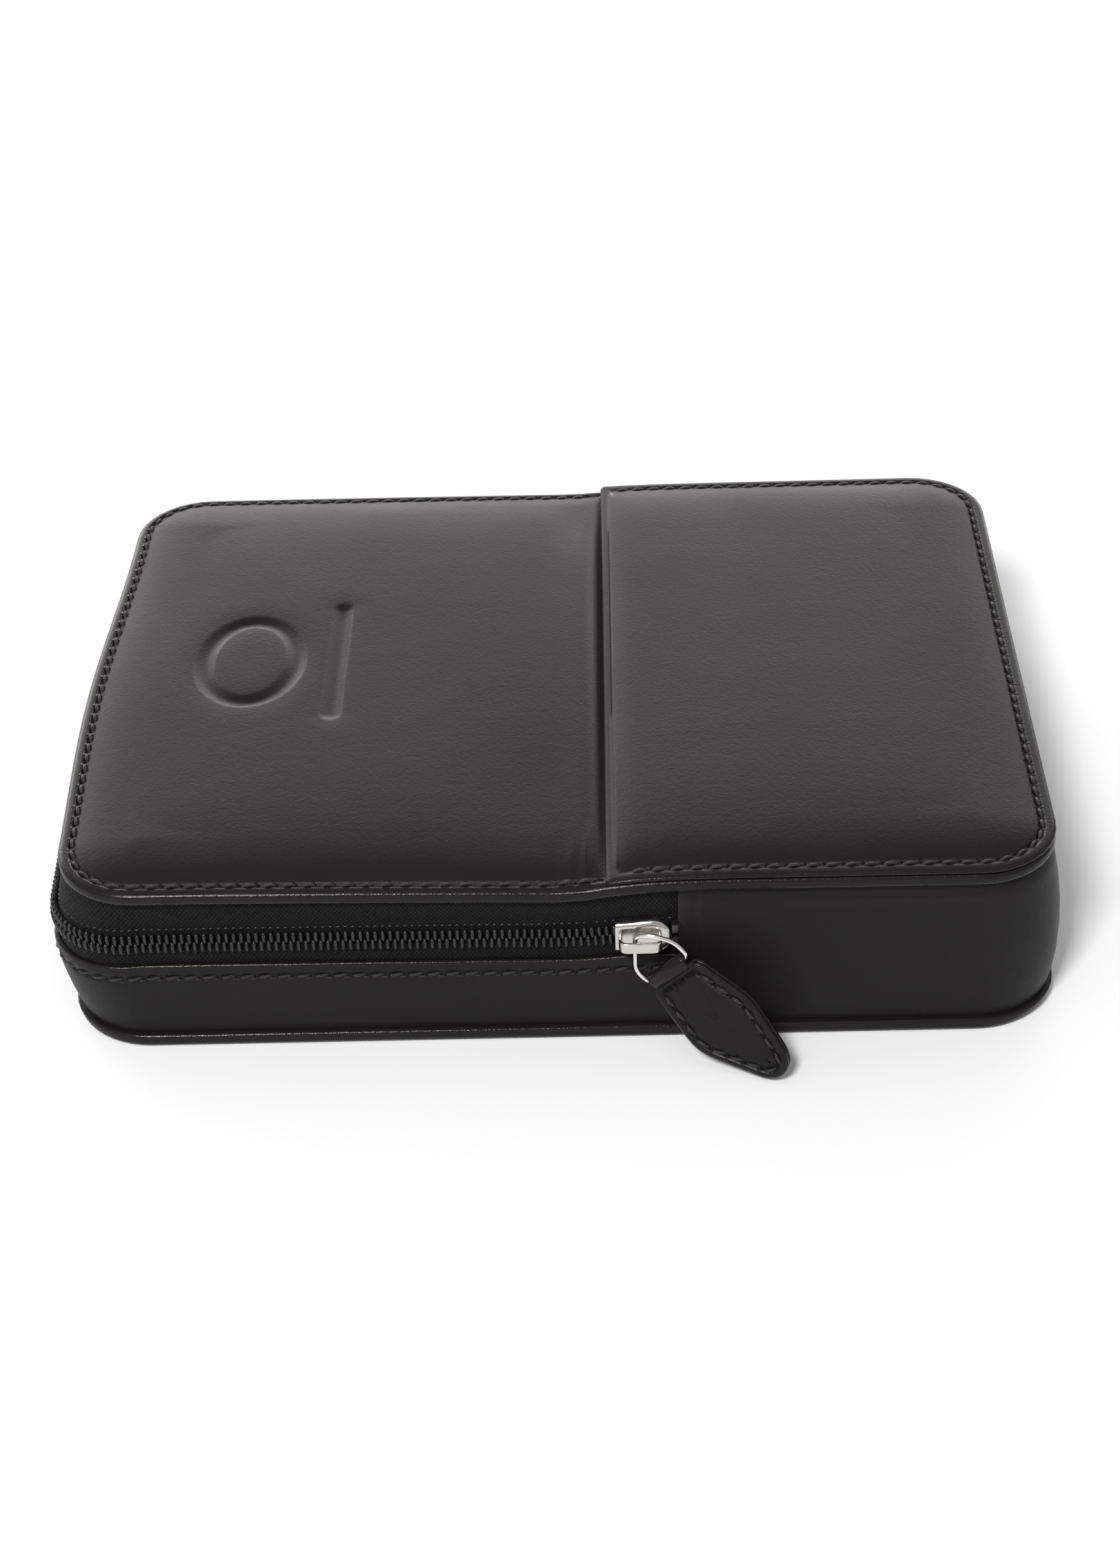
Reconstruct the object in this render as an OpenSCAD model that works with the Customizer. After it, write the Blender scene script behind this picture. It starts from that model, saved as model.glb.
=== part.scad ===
// Zip-round leather case for six fountain pens. Units are millimetres.
// Origin: centre of the underside. +X runs along the pens to the closed half,
// +Y points to the back, +Z up. The left part of the top is the lid: it folds
// up about a line across the case, once the zip round it is open.

/* [Case] */
// Length of the top and bottom panels, along the pens
case_length = 170; // [160:1:190]
// Width of the panels, across the pens
case_width = 134; // [134:1:150]
// Radius of the panels' four corners
corner_radius = 14; // [11:0.5:18]
// Height of the lid's outer face above the table, at its edge
lid_height = 33; // [33:0.5:38]
// How far the walls stand back from the panels' edges
wall_setback = 1.2; // [0.8:0.1:2]

/* [Leather, boards and linings] */
// Thickness of the outer leather
leather = 1; // [0.8:0.1:1.2]
// Thickness of the boards in the top and bottom panels
panel_board = 1.2; // [1:0.1:1.6]
// Thickness of the boards in the walls, and of the zip's tape
wall_board = 0.6; // [0.5:0.1:0.8]
// Thickness of the fabric linings
lining = 0.6; // [0.4:0.1:0.8]
// Foam in the base, under its lining
base_foam = 1.2; // [0.8:0.1:2]
// Foam in the middle of the lid
lid_foam_depth = 1.4; // [1:0.1:2]
// Foam in the middle of the pocket's leather
pocket_foam_depth = 1.2; // [0.8:0.1:2]
// How far the foam's edge stands in from a panel's edge
foam_margin = 3.2; // [3:0.1:5]
// Width of the foam's sloping edge
foam_slope = 6; // [4:0.5:8]

/* [Fold and pocket] */
// Where the pocket's free edge lies, right of the middle
pocket_edge = 8.5; // [4:0.5:14]
// How far left of the pocket's edge the lid folds
fold_setback = 2; // [1.5:0.1:3]
// Gap between the two halves' solids at the fold
fold_gap = 0.4; // [0.3:0.1:0.8]

/* [Zip] */
// Height of the zip's centre line
zip_height = 21.6; // [20:0.1:24]
// Height of the lower leather wall's top edge
zip_wall_height = 16.9; // [15:0.1:17]
// Height across both halves of the closed coil
chain_height = 4.2; // [3.6:0.1:5]
// Thickness of the coil, outside the tape
coil_depth = 1.2; // [1:0.1:1.6]
// Gap between the coil's halves, which the slider's post passes along
coil_gap = 0.7; // [0.6:0.05:0.9]
// How far right of the pocket's edge the zip ends
zip_end_past_edge = 12; // [11.5:0.5:16]

/* [Slider] */
// Length of the slider's plates
slider_length = 9.1; // [8:0.1:10]
// Height of the plates at their shoulders
slider_height = 6.8; // [6.4:0.1:7.6]
// Thickness of each plate
plate_thickness = 0.8; // [0.6:0.1:1]
// How far the bridge stands out from the front plate
bridge_reach = 3; // [2.8:0.1:3.4]
// Width of the bridge's strap
bridge_width = 2.1; // [1.6:0.1:2.4]

/* [Pull] */
// Radius of the ring's wire
wire_radius = 0.42; // [0.35:0.01:0.45]
// Angle of the ring from the wall, at rest
ring_angle = 12; // [8:1:20]
// Lean of the leather pull out of the ring's plane, at rest
pull_lean = 12; // [6:1:14]
// Thickness of each layer of the pull
pull_leather = 1; // [0.8:0.1:1.2]

/* [Pen places] */
// Number of pens side by side
pens = 6; // [4:1:6]
// Distance from one pen to the next
pen_pitch = 20.4; // [20.2:0.1:20.8]
// Inner radius of a fabric sleeve
sleeve_radius = 9.2; // [8.5:0.1:9.2]
// Inner radius of an elastic loop
loop_radius = 8.8; // [8:0.1:9]
// Length of the sleeves, in the closed half
sleeve_length = 62; // [50:1:62]
// Width of the elastic band
loop_width = 22; // [16:1:26]

/* [Hidden] */
$fn = 48;
sliver = 0.01;
beyond = 400;

panel_edge = leather + panel_board;
lid_underside = lid_height - leather - panel_board;
top_lining_low = lid_underside - lining;
tape_inset = wall_setback + leather;
lining_inset = tape_inset + wall_board;
inside_inset = lining_inset + lining;
base_top = panel_edge + base_foam + lining;

hinge_x = pocket_edge - fold_setback;
lid_end = hinge_x - fold_gap / 2;
fixed_start = hinge_x + fold_gap / 2;
zip_end = pocket_edge + zip_end_past_edge;

coil_inset = tape_inset - coil_depth;
chain_low = zip_height - chain_height / 2;
chain_high = zip_height + chain_height / 2;
lower_coil_top = zip_height - coil_gap / 2;
upper_coil_low = zip_height + coil_gap / 2;
tape_low = 9.4;
stop_length = 1;
coil_end = zip_end - stop_length - 0.3;

slider_x = coil_end - slider_length / 2 - 0.2;
chain_front = -case_width / 2 + coil_inset;
plate_front = chain_front - 0.2 - plate_thickness;
flange_thickness = 0.6;
flange_reach = 1;
bridge_leg = 1;
bridge_start = -4;
bridge_end = 3.4;
strap_thickness = 0.65;

// The ring's wire runs through these points, each [distance from its
// axis, height]. It turns about its first, upright stretch.
ring_points = [[0, 16], [0, 23.3], [2.5, 24], [6.8, 23], [9.1, 20.2], [2.5, 13.6]];
ring_x = slider_x - 1.25;
ring_y = plate_front - 1.6;
bar_middle = (ring_points[4] + ring_points[5]) / 2;
bar_angle = 45;
bore_radius = wire_radius + 0.08;
bend_radius = wire_radius + 0.03;
fold_radius = bore_radius + 0.9;
fold_length = 8;

// The pull is a leaf with round ends, each [along, across, radius].
leaf = [[2.2, -3.6, 1.5], [2.2, 4.6, 1.5], [12.4, 1.4, 7.4], [22.2, 3.6, 3.7]];

bed_thickness = 1.2;
bed_top = base_top + bed_thickness;
sleeve_wall = 0.7;
loop_wall = 0.9;
sleeve_start = 15;
loop_start = -55;

// ---- shared shapes ----

module rounded_rectangle(length, width, radius) {
    square([length - 2 * radius, width], center = true);
    square([length, width - 2 * radius], center = true);
    for (x = [-1, 1], y = [-1, 1])
        translate([x * (length / 2 - radius), y * (width / 2 - radius)])
            circle(radius);
}

// The case's outline, set in by inset, from one height to another
module slab(inset, low, high) {
    translate([0, 0, low])
        linear_extrude(high - low)
            rounded_rectangle(case_length - 2 * inset, case_width - 2 * inset,
                              corner_radius - inset);
}

module band(outer, inner, low, high) {
    difference() {
        slab(outer, low, high);
        slab(inner, low - 1, high + 1);
    }
}

module left_of(x) {
    difference() {
        children();
        translate([x, -beyond / 2, -beyond / 2]) cube(beyond);
    }
}

module right_of(x) {
    difference() {
        children();
        translate([x - beyond, -beyond / 2, -beyond / 2]) cube(beyond);
    }
}

// A pad with sloping edges between two ends, from its base up
module pad(start, end, margin, slope, low, high) {
    length = end - start;
    width = case_width - 2 * margin;
    radius = corner_radius - margin;
    hull() {
        translate([(start + end) / 2, 0, low])
            linear_extrude(sliver)
                rounded_rectangle(length, width, radius, $fn = 32);
        translate([(start + end) / 2, 0, high - sliver])
            linear_extrude(sliver)
                rounded_rectangle(length - 2 * slope, width - 2 * slope,
                                  radius / 2, $fn = 32);
    }
}

// An arch over one pen, on the bed
module arch(inner, wall, start, length) {
    translate([start, 0, bed_top])
        rotate([90, 0, 90])
            linear_extrude(length)
                difference() {
                    union() {
                        translate([0, inner]) circle(inner + wall);
                        translate([-inner - wall, 0])
                            square([2 * (inner + wall), inner]);
                    }
                    translate([0, inner]) circle(inner);
                    translate([-inner, -1]) square([2 * inner, inner + 1]);
                }
}

function pen_y(place) = (place - (pens + 1) / 2) * pen_pitch;

// ---- base ----

module base_cover() {
    color("#2b2a28")
        difference() {
            slab(0, 0, panel_edge);
            slab(leather, leather, panel_edge + 1);
        }
}

module base_board() {
    color("#6b5a48") slab(leather, leather, panel_edge);
}

module base_foam_pad() {
    color("#3a3a3c") slab(inside_inset, panel_edge, panel_edge + base_foam);
}

module base_lining() {
    color("#232325") slab(inside_inset, base_top - lining, base_top);
}

// ---- walls ----

module zip_wall() {
    color("#2e2d2b")
        left_of(zip_end)
            band(wall_setback, tape_inset, panel_edge, zip_wall_height);
}

module zip_wall_board() {
    color("#6b5a48")
        left_of(zip_end) band(tape_inset, lining_inset, panel_edge, tape_low);
}

module zip_wall_lining() {
    color("#232325")
        left_of(zip_end)
            band(lining_inset, inside_inset, panel_edge, zip_wall_height);
}

module end_wall() {
    color("#2b2a28")
        right_of(zip_end)
            band(wall_setback, tape_inset, panel_edge, lid_underside);
}

module end_wall_board() {
    color("#6b5a48")
        right_of(zip_end)
            band(tape_inset, lining_inset, panel_edge, lid_underside);
}

module end_wall_lining() {
    color("#232325")
        right_of(zip_end)
            band(lining_inset, inside_inset, panel_edge, lid_underside);
}

// ---- closed half of the top ----

module fixed_top_leather() {
    color("#33322f")
        right_of(fixed_start)
            difference() {
                slab(0, lid_underside, lid_height);
                slab(leather, lid_underside - 1, lid_height - leather);
            }
}

module fixed_top_board() {
    color("#6b5a48")
        right_of(fixed_start)
            slab(leather, lid_underside, lid_height - leather);
}

module fixed_top_lining() {
    color("#232325")
        right_of(fixed_start)
            slab(inside_inset, top_lining_low, lid_underside);
}

module pocket_pad(extra) {
    pad(pocket_edge + foam_margin - extra, case_length / 2 - foam_margin + extra,
        foam_margin - extra, foam_slope, lid_height + extra,
        lid_height + pocket_foam_depth + extra);
}

module pocket_foam() {
    color("#3a3a3c") pocket_pad(0);
}

module pocket_leather() {
    color("#36352f")
        difference() {
            union() {
                right_of(pocket_edge)
                    slab(0, lid_height, lid_height + leather);
                pocket_pad(leather);
            }
            pocket_pad(0);
        }
}

// ---- zip, on the case ----

module zip_tape_lower() {
    color("#171718")
        left_of(zip_end)
            band(tape_inset, lining_inset, tape_low, lower_coil_top);
}

module zip_coil_lower() {
    color("#1d1d1f")
        left_of(coil_end)
            band(coil_inset, tape_inset, chain_low, lower_coil_top);
}

module zip_tape_ends() {
    color("#171718")
        right_of(fixed_start) left_of(zip_end)
            band(tape_inset, lining_inset, upper_coil_low, lid_underside);
}

module zip_coil_ends() {
    color("#1d1d1f")
        right_of(fixed_start) left_of(coil_end)
            band(coil_inset, tape_inset, upper_coil_low, chain_high);
}

module stop_block(side, low, high) {
    depth = coil_depth + 0.3;
    face = side * (case_width / 2 - tape_inset);
    translate([zip_end - stop_length, side > 0 ? face : face - depth, low])
        cube([stop_length, depth, high - low]);
}

module zip_top_stops() {
    color("#c9c9c6") {
        stop_block(-1, chain_low, lower_coil_top - 0.1);
        stop_block(-1, upper_coil_low + 0.1, chain_high);
    }
}

module zip_bottom_stop() {
    color("#c9c9c6") stop_block(1, chain_low, chain_high);
}

// ---- pen places ----

module pen_bed() {
    color("#2a2a2d")
        translate([0, 0, base_top])
            linear_extrude(bed_thickness)
                rounded_rectangle(case_length - 2 * inside_inset - 2,
                                  case_width - 2 * inside_inset - 2,
                                  corner_radius - inside_inset - 1);
}

module pen_sleeve(place) {
    color("#303033")
        translate([0, pen_y(place), 0])
            arch(sleeve_radius, sleeve_wall, sleeve_start, sleeve_length);
}

module pen_loop(place) {
    color("#1b1b1c")
        translate([0, pen_y(place), 0])
            arch(loop_radius, loop_wall, loop_start, loop_width);
}

// ---- lid ----

module lid_pad(extra) {
    pad(-case_length / 2 + foam_margin - extra, lid_end - foam_margin + extra,
        foam_margin - extra, foam_slope, lid_height - leather + extra,
        lid_height - leather + lid_foam_depth + extra);
}

module lid_board() {
    color("#6b5a48")
        left_of(lid_end) slab(leather, lid_underside, lid_height - leather);
}

module lid_foam() {
    color("#3a3a3c") lid_pad(0);
}

module lid_leather() {
    color("#36352f")
        difference() {
            union() {
                left_of(lid_end) slab(0, lid_underside, lid_height);
                lid_pad(leather);
            }
            slab(leather, lid_underside - 1, lid_height - leather);
            lid_pad(0);
        }
}

module lid_lining() {
    color("#232325")
        left_of(lid_end) slab(inside_inset, top_lining_low, lid_underside);
}

module zip_tape_upper() {
    color("#171718")
        left_of(lid_end)
            band(tape_inset, lining_inset, upper_coil_low, lid_underside);
}

module zip_coil_upper() {
    color("#1d1d1f")
        left_of(lid_end)
            band(coil_inset, tape_inset, upper_coil_low, chain_high);
}

// ---- slider ----

// A plate of the slider: narrow at its tail, wide at its shoulders
module slider_plate(face, thickness) {
    tail = chain_height / 2 + 0.25 + flange_thickness;
    shoulder = slider_height / 2;
    half = slider_length / 2;
    translate([slider_x, face + thickness, zip_height])
        rotate([90, 0, 0])
            linear_extrude(thickness)
                polygon([
                    [-half, -tail], [1, -shoulder], [3, -shoulder], [half, -2],
                    [half, 2], [3, shoulder], [1, shoulder], [-half, tail]
                ]);
}

module slider_body() {
    flange_z = chain_height / 2 + 0.25;
    rear_face = -case_width / 2 + lining_inset + 0.2;
    color("#c4c4c0") {
        slider_plate(plate_front, plate_thickness);
        slider_plate(rear_face, plate_thickness);
        translate([slider_x + 1, plate_front, zip_height - coil_gap / 2 + 0.1])
            cube([2.8, rear_face - plate_front + plate_thickness, coil_gap - 0.2]);
        for (side = [-1, 1])
            translate([slider_x - slider_length / 2, plate_front,
                       zip_height + side * flange_z
                       - (side < 0 ? flange_thickness : 0)])
                cube([6, plate_thickness + flange_reach, flange_thickness]);
    }
}

module slider_bridge() {
    length = bridge_end - bridge_start;
    inner_reach = bridge_reach - strap_thickness;
    color("#d6d6d2")
        translate([slider_x + bridge_start, plate_front - bridge_reach,
                   zip_height - bridge_width / 2])
            difference() {
                cube([length, bridge_reach, bridge_width]);
                translate([bridge_leg, strap_thickness, -1])
                    cube([length - 2 * bridge_leg, inner_reach + 1,
                          bridge_width + 2]);
            }
}

// ---- ring and pull ----

module on_ring() {
    translate([ring_x, ring_y, 0]) rotate([0, 0, -ring_angle]) children();
}

module wire(from, to) {
    step = to - from;
    translate([from[0], 0, from[1]]) {
        sphere(bend_radius);
        rotate([0, atan2(step[0], step[1]), 0])
            cylinder(h = norm(step), r = wire_radius);
    }
}

module pull_ring() {
    count = len(ring_points);
    color("#cfcfcb")
        on_ring()
            for (i = [0 : count - 1])
                wire(ring_points[i], ring_points[(i + 1) % count]);
}

module on_bar() {
    on_ring()
        translate([bar_middle[0], 0, bar_middle[1]])
            rotate([0, bar_angle, 0]) rotate([0, 0, -pull_lean]) children();
}

module leaf_layer(near) {
    translate([0, near + pull_leather, 0])
        rotate([90, 0, 0])
            linear_extrude(pull_leather)
                hull()
                    for (end = leaf)
                        translate([end[0], end[1]]) circle(end[2], $fn = 32);
}

module fold_cylinder(radius, length) {
    translate([0, 0, -length / 2]) cylinder(h = length, r = radius);
}

module pull_front_leather() {
    color("#2d2c2a")
        on_bar()
            difference() {
                union() {
                    leaf_layer(-pull_leather);
                    fold_cylinder(fold_radius, fold_length);
                }
                fold_cylinder(bore_radius, fold_length + 8);
            }
}

module pull_back_leather() {
    color("#262523")
        on_bar()
            difference() {
                leaf_layer(0);
                fold_cylinder(fold_radius, fold_length);
                fold_cylinder(bore_radius, fold_length + 8);
            }
}

base_cover();
base_board();
base_foam_pad();
base_lining();
zip_wall();
zip_wall_board();
zip_wall_lining();
end_wall();
end_wall_board();
end_wall_lining();
fixed_top_leather();
fixed_top_board();
fixed_top_lining();
pocket_leather();
pocket_foam();
zip_tape_lower();
zip_coil_lower();
zip_tape_ends();
zip_coil_ends();
zip_top_stops();
zip_bottom_stop();
pen_bed();
for (place = [1 : pens]) {
    pen_sleeve(place);
    pen_loop(place);
}
lid_leather();
lid_foam();
lid_board();
lid_lining();
zip_tape_upper();
zip_coil_upper();
slider_body();
slider_bridge();
pull_ring();
pull_front_leather();
pull_back_leather();
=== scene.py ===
import math

import bmesh
import bpy
import numpy as np
from mathutils import Matrix


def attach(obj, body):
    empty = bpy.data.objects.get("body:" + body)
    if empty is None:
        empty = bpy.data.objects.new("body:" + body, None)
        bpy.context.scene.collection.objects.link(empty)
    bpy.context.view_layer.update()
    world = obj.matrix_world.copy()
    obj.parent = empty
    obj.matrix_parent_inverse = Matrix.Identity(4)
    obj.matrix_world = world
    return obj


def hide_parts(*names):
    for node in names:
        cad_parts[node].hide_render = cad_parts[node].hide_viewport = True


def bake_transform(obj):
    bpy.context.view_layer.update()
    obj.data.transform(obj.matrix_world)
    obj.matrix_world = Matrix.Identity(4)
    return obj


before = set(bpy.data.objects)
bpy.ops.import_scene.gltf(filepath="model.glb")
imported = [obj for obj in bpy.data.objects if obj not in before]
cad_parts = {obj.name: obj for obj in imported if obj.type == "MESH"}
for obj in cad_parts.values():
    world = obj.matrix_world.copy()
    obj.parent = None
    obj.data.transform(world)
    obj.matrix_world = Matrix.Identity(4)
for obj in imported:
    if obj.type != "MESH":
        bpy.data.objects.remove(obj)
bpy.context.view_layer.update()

# ---- Camera, floor and light ----
# The case lies flat with its long side to the viewer, seen from about 35
# degrees above. Floor and surroundings are plain and pale.

camera = bpy.data.objects.new("camera", bpy.data.cameras.new("camera"))
camera.data.lens = 65.1
camera.data.clip_start = 0.01
camera.matrix_world = Matrix((
    (0.9995, 0.02236, 0.02221, 0.011778),
    (0.00524, 0.57696, -0.81676, -0.442546),
    (-0.03108, 0.81647, 0.57655, 0.318944),
    (0, 0, 0, 1),
))
bpy.context.collection.objects.link(camera)
bpy.context.scene.camera = camera
bpy.context.scene.view_settings.view_transform = "Standard"


def add_node(tree, kind, inputs=None, **settings):
    """A node with its settings, whose inputs are numbers or other nodes' outputs."""
    node = tree.nodes.new(kind)
    for name, value in settings.items():
        setattr(node, name, value)
    for name, value in (inputs or {}).items():
        if isinstance(value, bpy.types.Node):
            value = value.outputs[0]
        if isinstance(value, bpy.types.NodeSocket):
            tree.links.new(value, node.inputs[name])
        else:
            node.inputs[name].default_value = value
    return node


def surface(name, inputs):
    """A material with one Principled BSDF, and its tree."""
    material = bpy.data.materials.new(name)
    material.use_nodes = True
    tree = material.node_tree
    shader = tree.nodes["Principled BSDF"]
    for socket, value in inputs.items():
        shader.inputs[socket].default_value = value
    return material, tree, shader


def feed(tree, shader, **outputs):
    for socket, value in outputs.items():
        if isinstance(value, bpy.types.Node):
            value = value.outputs[0]
        tree.links.new(value, shader.inputs[socket.replace("_", " ")])


floor_paint = surface("floor_paint", {
    "Base Color": (0.91, 0.925, 0.96, 1), "Roughness": 0.9, "Specular IOR Level": 0.1})[0]
floor_mesh = bpy.data.meshes.new("floor")
floor_mesh.from_pydata([(-4, -3, -0.0002), (4, -3, -0.0002), (4, 5, -0.0002), (-4, 5, -0.0002)],
                       [], [(0, 1, 2, 3)])
floor_mesh.materials.append(floor_paint)
floor = bpy.data.objects.new("floor", floor_mesh)
bpy.context.collection.objects.link(floor)

world = bpy.data.worlds.new("pale_room")
world.use_nodes = True
world.node_tree.nodes["Background"].inputs["Color"].default_value = (1.0, 0.99, 0.965, 1)
world.node_tree.nodes["Background"].inputs["Strength"].default_value = 0.48
bpy.context.scene.world = world


def softbox(name, place, target, width, height, power):
    lamp = bpy.data.lights.new(name, "AREA")
    lamp.shape = "RECTANGLE"
    lamp.size, lamp.size_y, lamp.energy = width, height, power
    lamp.color = (1.0, 0.985, 0.95)
    holder = bpy.data.objects.new(name, lamp)
    holder.location = place
    aim = Matrix.Translation(place).inverted() @ Matrix.Translation(target)
    holder.rotation_euler = aim.to_translation().to_track_quat("-Z", "Y").to_euler()
    bpy.context.collection.objects.link(holder)


softbox("back_softbox", (-0.24, 1.35, 0.34), target=(0, 0, 0.03), width=2.6, height=0.48, power=21)
softbox("front_softbox", (-0.4, -1.0, 1.25), target=(0, 0, 0), width=0.34, height=0.34, power=22)

# ---- Base ----
# The underside is a board wrapped in black calf leather, turned in round the
# edge and stitched all round, with a lip that stands out past the walls.

half_length, half_width, corner = 85.0, 67.0, 14.0
lip_top = 33.0
row_inset = 2.4
left_bow = 1.9
zip_end = 20.5
full_turn = 6.2832
untouched = 99.0
leather_black = (0.0066, 0.0062, 0.0055, 1)
# Paler tone for convex edges: partly rubbed wear, partly a painted highlight
leather_wear_and_highlight = (0.014, 0.0130, 0.0116, 1)


def outline(cut, side, step=1.6, turn=12):
    """The case's edge from the front at x = cut, round one end, to the back: points on
    the rectangle of corner centres, outward directions, and distance along the row."""
    end_x, end_y = side * (half_length - corner), half_width - corner
    runs = []
    count = max(2, round(abs(end_x - cut) / step))
    run_x = np.linspace(cut, end_x, count + 1)
    bend = np.radians(np.linspace(0, 90, turn + 1)[1:-1])
    count = round(2 * end_y / step)
    run_y = np.linspace(-end_y, end_y, count + 1)
    runs.append(np.c_[run_x, run_x * 0 - end_y, run_x * 0, run_x * 0 - 1])
    runs.append(np.c_[bend * 0 + end_x, bend * 0 - end_y, side * np.sin(bend), -np.cos(bend)])
    runs.append(np.c_[run_y * 0 + end_x, run_y, run_y * 0 + side, run_y * 0])
    runs.append(np.c_[bend * 0 + end_x, bend * 0 + end_y, side * np.cos(bend), np.sin(bend)])
    runs.append(np.c_[run_x[::-1], run_x * 0 + end_y, run_x * 0, run_x * 0 + 1])
    line = np.vstack(runs)
    return path_of(line)


def path_of(line):
    row = line[:, :2] + line[:, 2:] * (corner - row_inset)
    along = np.r_[0, np.cumsum(np.linalg.norm(np.diff(row, axis=0), axis=1))]
    return line[:, :2], line[:, 2:], along


def all_round():
    """The whole edge, anticlockwise from the front, its first point repeated at the end."""
    left, right = outline(0, -1), outline(0, 1)
    line = np.vstack([np.c_[left[0], left[1]], np.c_[right[0], right[1]][::-1][1:]])
    return path_of(line)


def soft_step(value, start, end):
    share = np.clip((value - start) / (end - start), 0, 1)
    return share * share * (3 - 2 * share)


def bowed(x, y):
    """How far the middle of the zipped end stands out."""
    return left_bow * np.cos(0.5 * np.pi * np.clip((y + 8) / 60.0, -1, 1)) ** 2 * (x < -half_length + corner)


def settle(base, out, inset, height):
    """Where a point of the soft case comes to rest: its ends bulge between the panels,
    and its top droops at the end of the zip and stands full over the closed half."""
    level = np.clip(height / 31.0, 0, 1)
    belly = np.where(out[..., 0] < 0, 3.6 * np.sin(np.pi * level ** 1.25) ** 0.8,
                     2.6 * np.sin(np.pi * level ** 0.75) ** 0.6)
    swell = belly * (np.abs(out[..., 0]) ** 1.2 + 0.04)
    place = base + out * (corner - inset + swell)[..., None]
    x, y = place[..., 0], place[..., 1]
    return np.stack([x - bowed(x, y) * np.clip(height / 14.0, 0, 1), y, height + droop(x, y, height)], -1)


def droop(x, y, height):
    edge = np.interp(x, [-85, -60, -35, -12, 0, 5, 9, 13, 20, 30, 85],
                     [0, -0.1, -0.5, -1.0, -1.35, -1.1, -0.4, 0.15, 0.5, 0.6, 0.5])
    near = 0.35 + 0.65 * (1 - soft_step(y, -67, 30))
    zip_share = np.clip((height - 2.5) / 14, 0, 1) * 0.45
    share = np.where(height < 24, zip_share, zip_share + (1 - zip_share) * soft_step(height, 24, 30))
    return edge * near * share


def tidy_piece(name, parts, material):
    """One mesh from parts, each points in millimetres, faces and corner UVs, with its
    convex edges marked by how sharply they turn, for rubbed wear and a painted highlight."""
    points, faces, corners = [], [], []
    for part_points, part_faces, part_uvs in parts:
        start = len(points)
        points += [tuple(point) for point in np.asarray(part_points, float) * 0.001]
        faces += [tuple(start + int(index) for index in face) for face in part_faces]
        if part_uvs is None:
            corners += [(0.0, untouched)] * sum(len(face) for face in part_faces)
        else:
            corners += [tuple(uv) for uv in part_uvs]
    mesh = bpy.data.meshes.new(name)
    mesh.from_pydata(points, [], faces)
    rows = mesh.uv_layers.new(name="rows")
    rows.data.foreach_set("uv", np.array(corners, np.float32).ravel())
    shape = bmesh.new()
    shape.from_mesh(mesh)
    bmesh.ops.remove_doubles(shape, verts=shape.verts, dist=2e-7)
    bmesh.ops.recalc_face_normals(shape, faces=shape.faces)
    edge_wear_and_highlight = []
    for point in shape.verts:
        turns = [edge.calc_face_angle_signed(0.0) for edge in point.link_edges]
        edge_wear_and_highlight.append(min(1.0, max(turns, default=0.0) / 0.45))
    for face in shape.faces:
        face.smooth = True
    for edge in shape.edges:
        edge.smooth = edge.calc_face_angle(0.0) < 1.1
    shape.to_mesh(mesh)
    shape.free()
    # The edge mark, where leather is painted paler: partly rubbed wear, partly a painted highlight
    mark = mesh.attributes.new("edge_wear_and_highlight", "FLOAT", "POINT")
    mark.data.foreach_set("value", np.clip(edge_wear_and_highlight, 0, 1).astype(np.float32))
    mesh.materials.append(material)
    piece = bpy.data.objects.new(name, mesh)
    bpy.context.collection.objects.link(piece)
    return piece


def lattice(points, u, v, wrap_across=True):
    """Quads over a lattice of points, along by across, with corner UVs."""
    along, across = points.shape[:2]
    i, j = np.meshgrid(np.arange(along - 1), np.arange(across if wrap_across else across - 1),
                       indexing="ij")
    ring = [(i, j), (i + 1, j), (i + 1, j + 1), (i, j + 1)]
    faces = np.stack([a * across + b % across for a, b in ring], -1).reshape(-1, 4)
    uvs = np.stack([np.stack([u[a], v[b]], -1) for a, b in ring], 2).reshape(-1, 2)
    return points.reshape(-1, 3), faces, uvs


def bend_points(before, here, after, reach, steps):
    """Points round one bend, from reach before the corner to reach after it."""
    start = here + before / np.linalg.norm(before) * reach
    end = here + after / np.linalg.norm(after) * reach
    return [(1 - t) ** 2 * start + 2 * t * (1 - t) * here + t * t * end
            for t in np.linspace(0, 1, steps + 1)]


def caps(first, last):
    """The two flat ends of a sweep, facing opposite ways."""
    ring = list(range(len(first)))
    return [(first, [ring[::-1]], None), (last, [ring], None)]


def strip_caps(rings):
    """Both ends of a strip whose section runs out along one face and back along the other."""
    count = rings.shape[1]
    quads = [(i, i + 1, count - 2 - i, count - 1 - i) for i in range(count // 2 - 1)]
    return [(rings[k], quads, None) for k in (0, -1)]


def swept(path, profile, row=None, cap=True):
    """A closed profile of insets and heights carried along a path. row is the index of
    the profile's point that a line of stitches follows."""
    base, out, along = path
    profile = np.array(profile, float)
    legs = np.linalg.norm(np.diff(profile, axis=0, append=profile[:1]), axis=1)
    across = np.r_[0, np.cumsum(legs)]
    across = across + untouched if row is None else across - across[row]
    inset = np.repeat(profile[None, :, 0], len(base), 0)
    height = np.repeat(profile[None, :, 1], len(base), 0)
    points = settle(base[:, None] + 0 * inset[..., None], out[:, None] + 0 * inset[..., None],
                    inset, height)
    parts = [lattice(points, along, across)]
    return parts + caps(points[0], points[-1]) if cap else parts


def rounded(points, steps=4):
    """A closed profile with its corners rounded, from (inset, height, radius) points."""
    made = []
    for k, (x, z, radius) in enumerate(points):
        here = np.array([x, z])
        before = np.array(points[k - 1][:2]) - here
        after = np.array(points[(k + 1) % len(points)][:2]) - here
        if radius == 0:
            made.append(here)
            continue
        reach = min(radius, 0.49 * np.linalg.norm(before), 0.49 * np.linalg.norm(after))
        made += bend_points(before, here, after, reach, steps)
    return made


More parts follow.
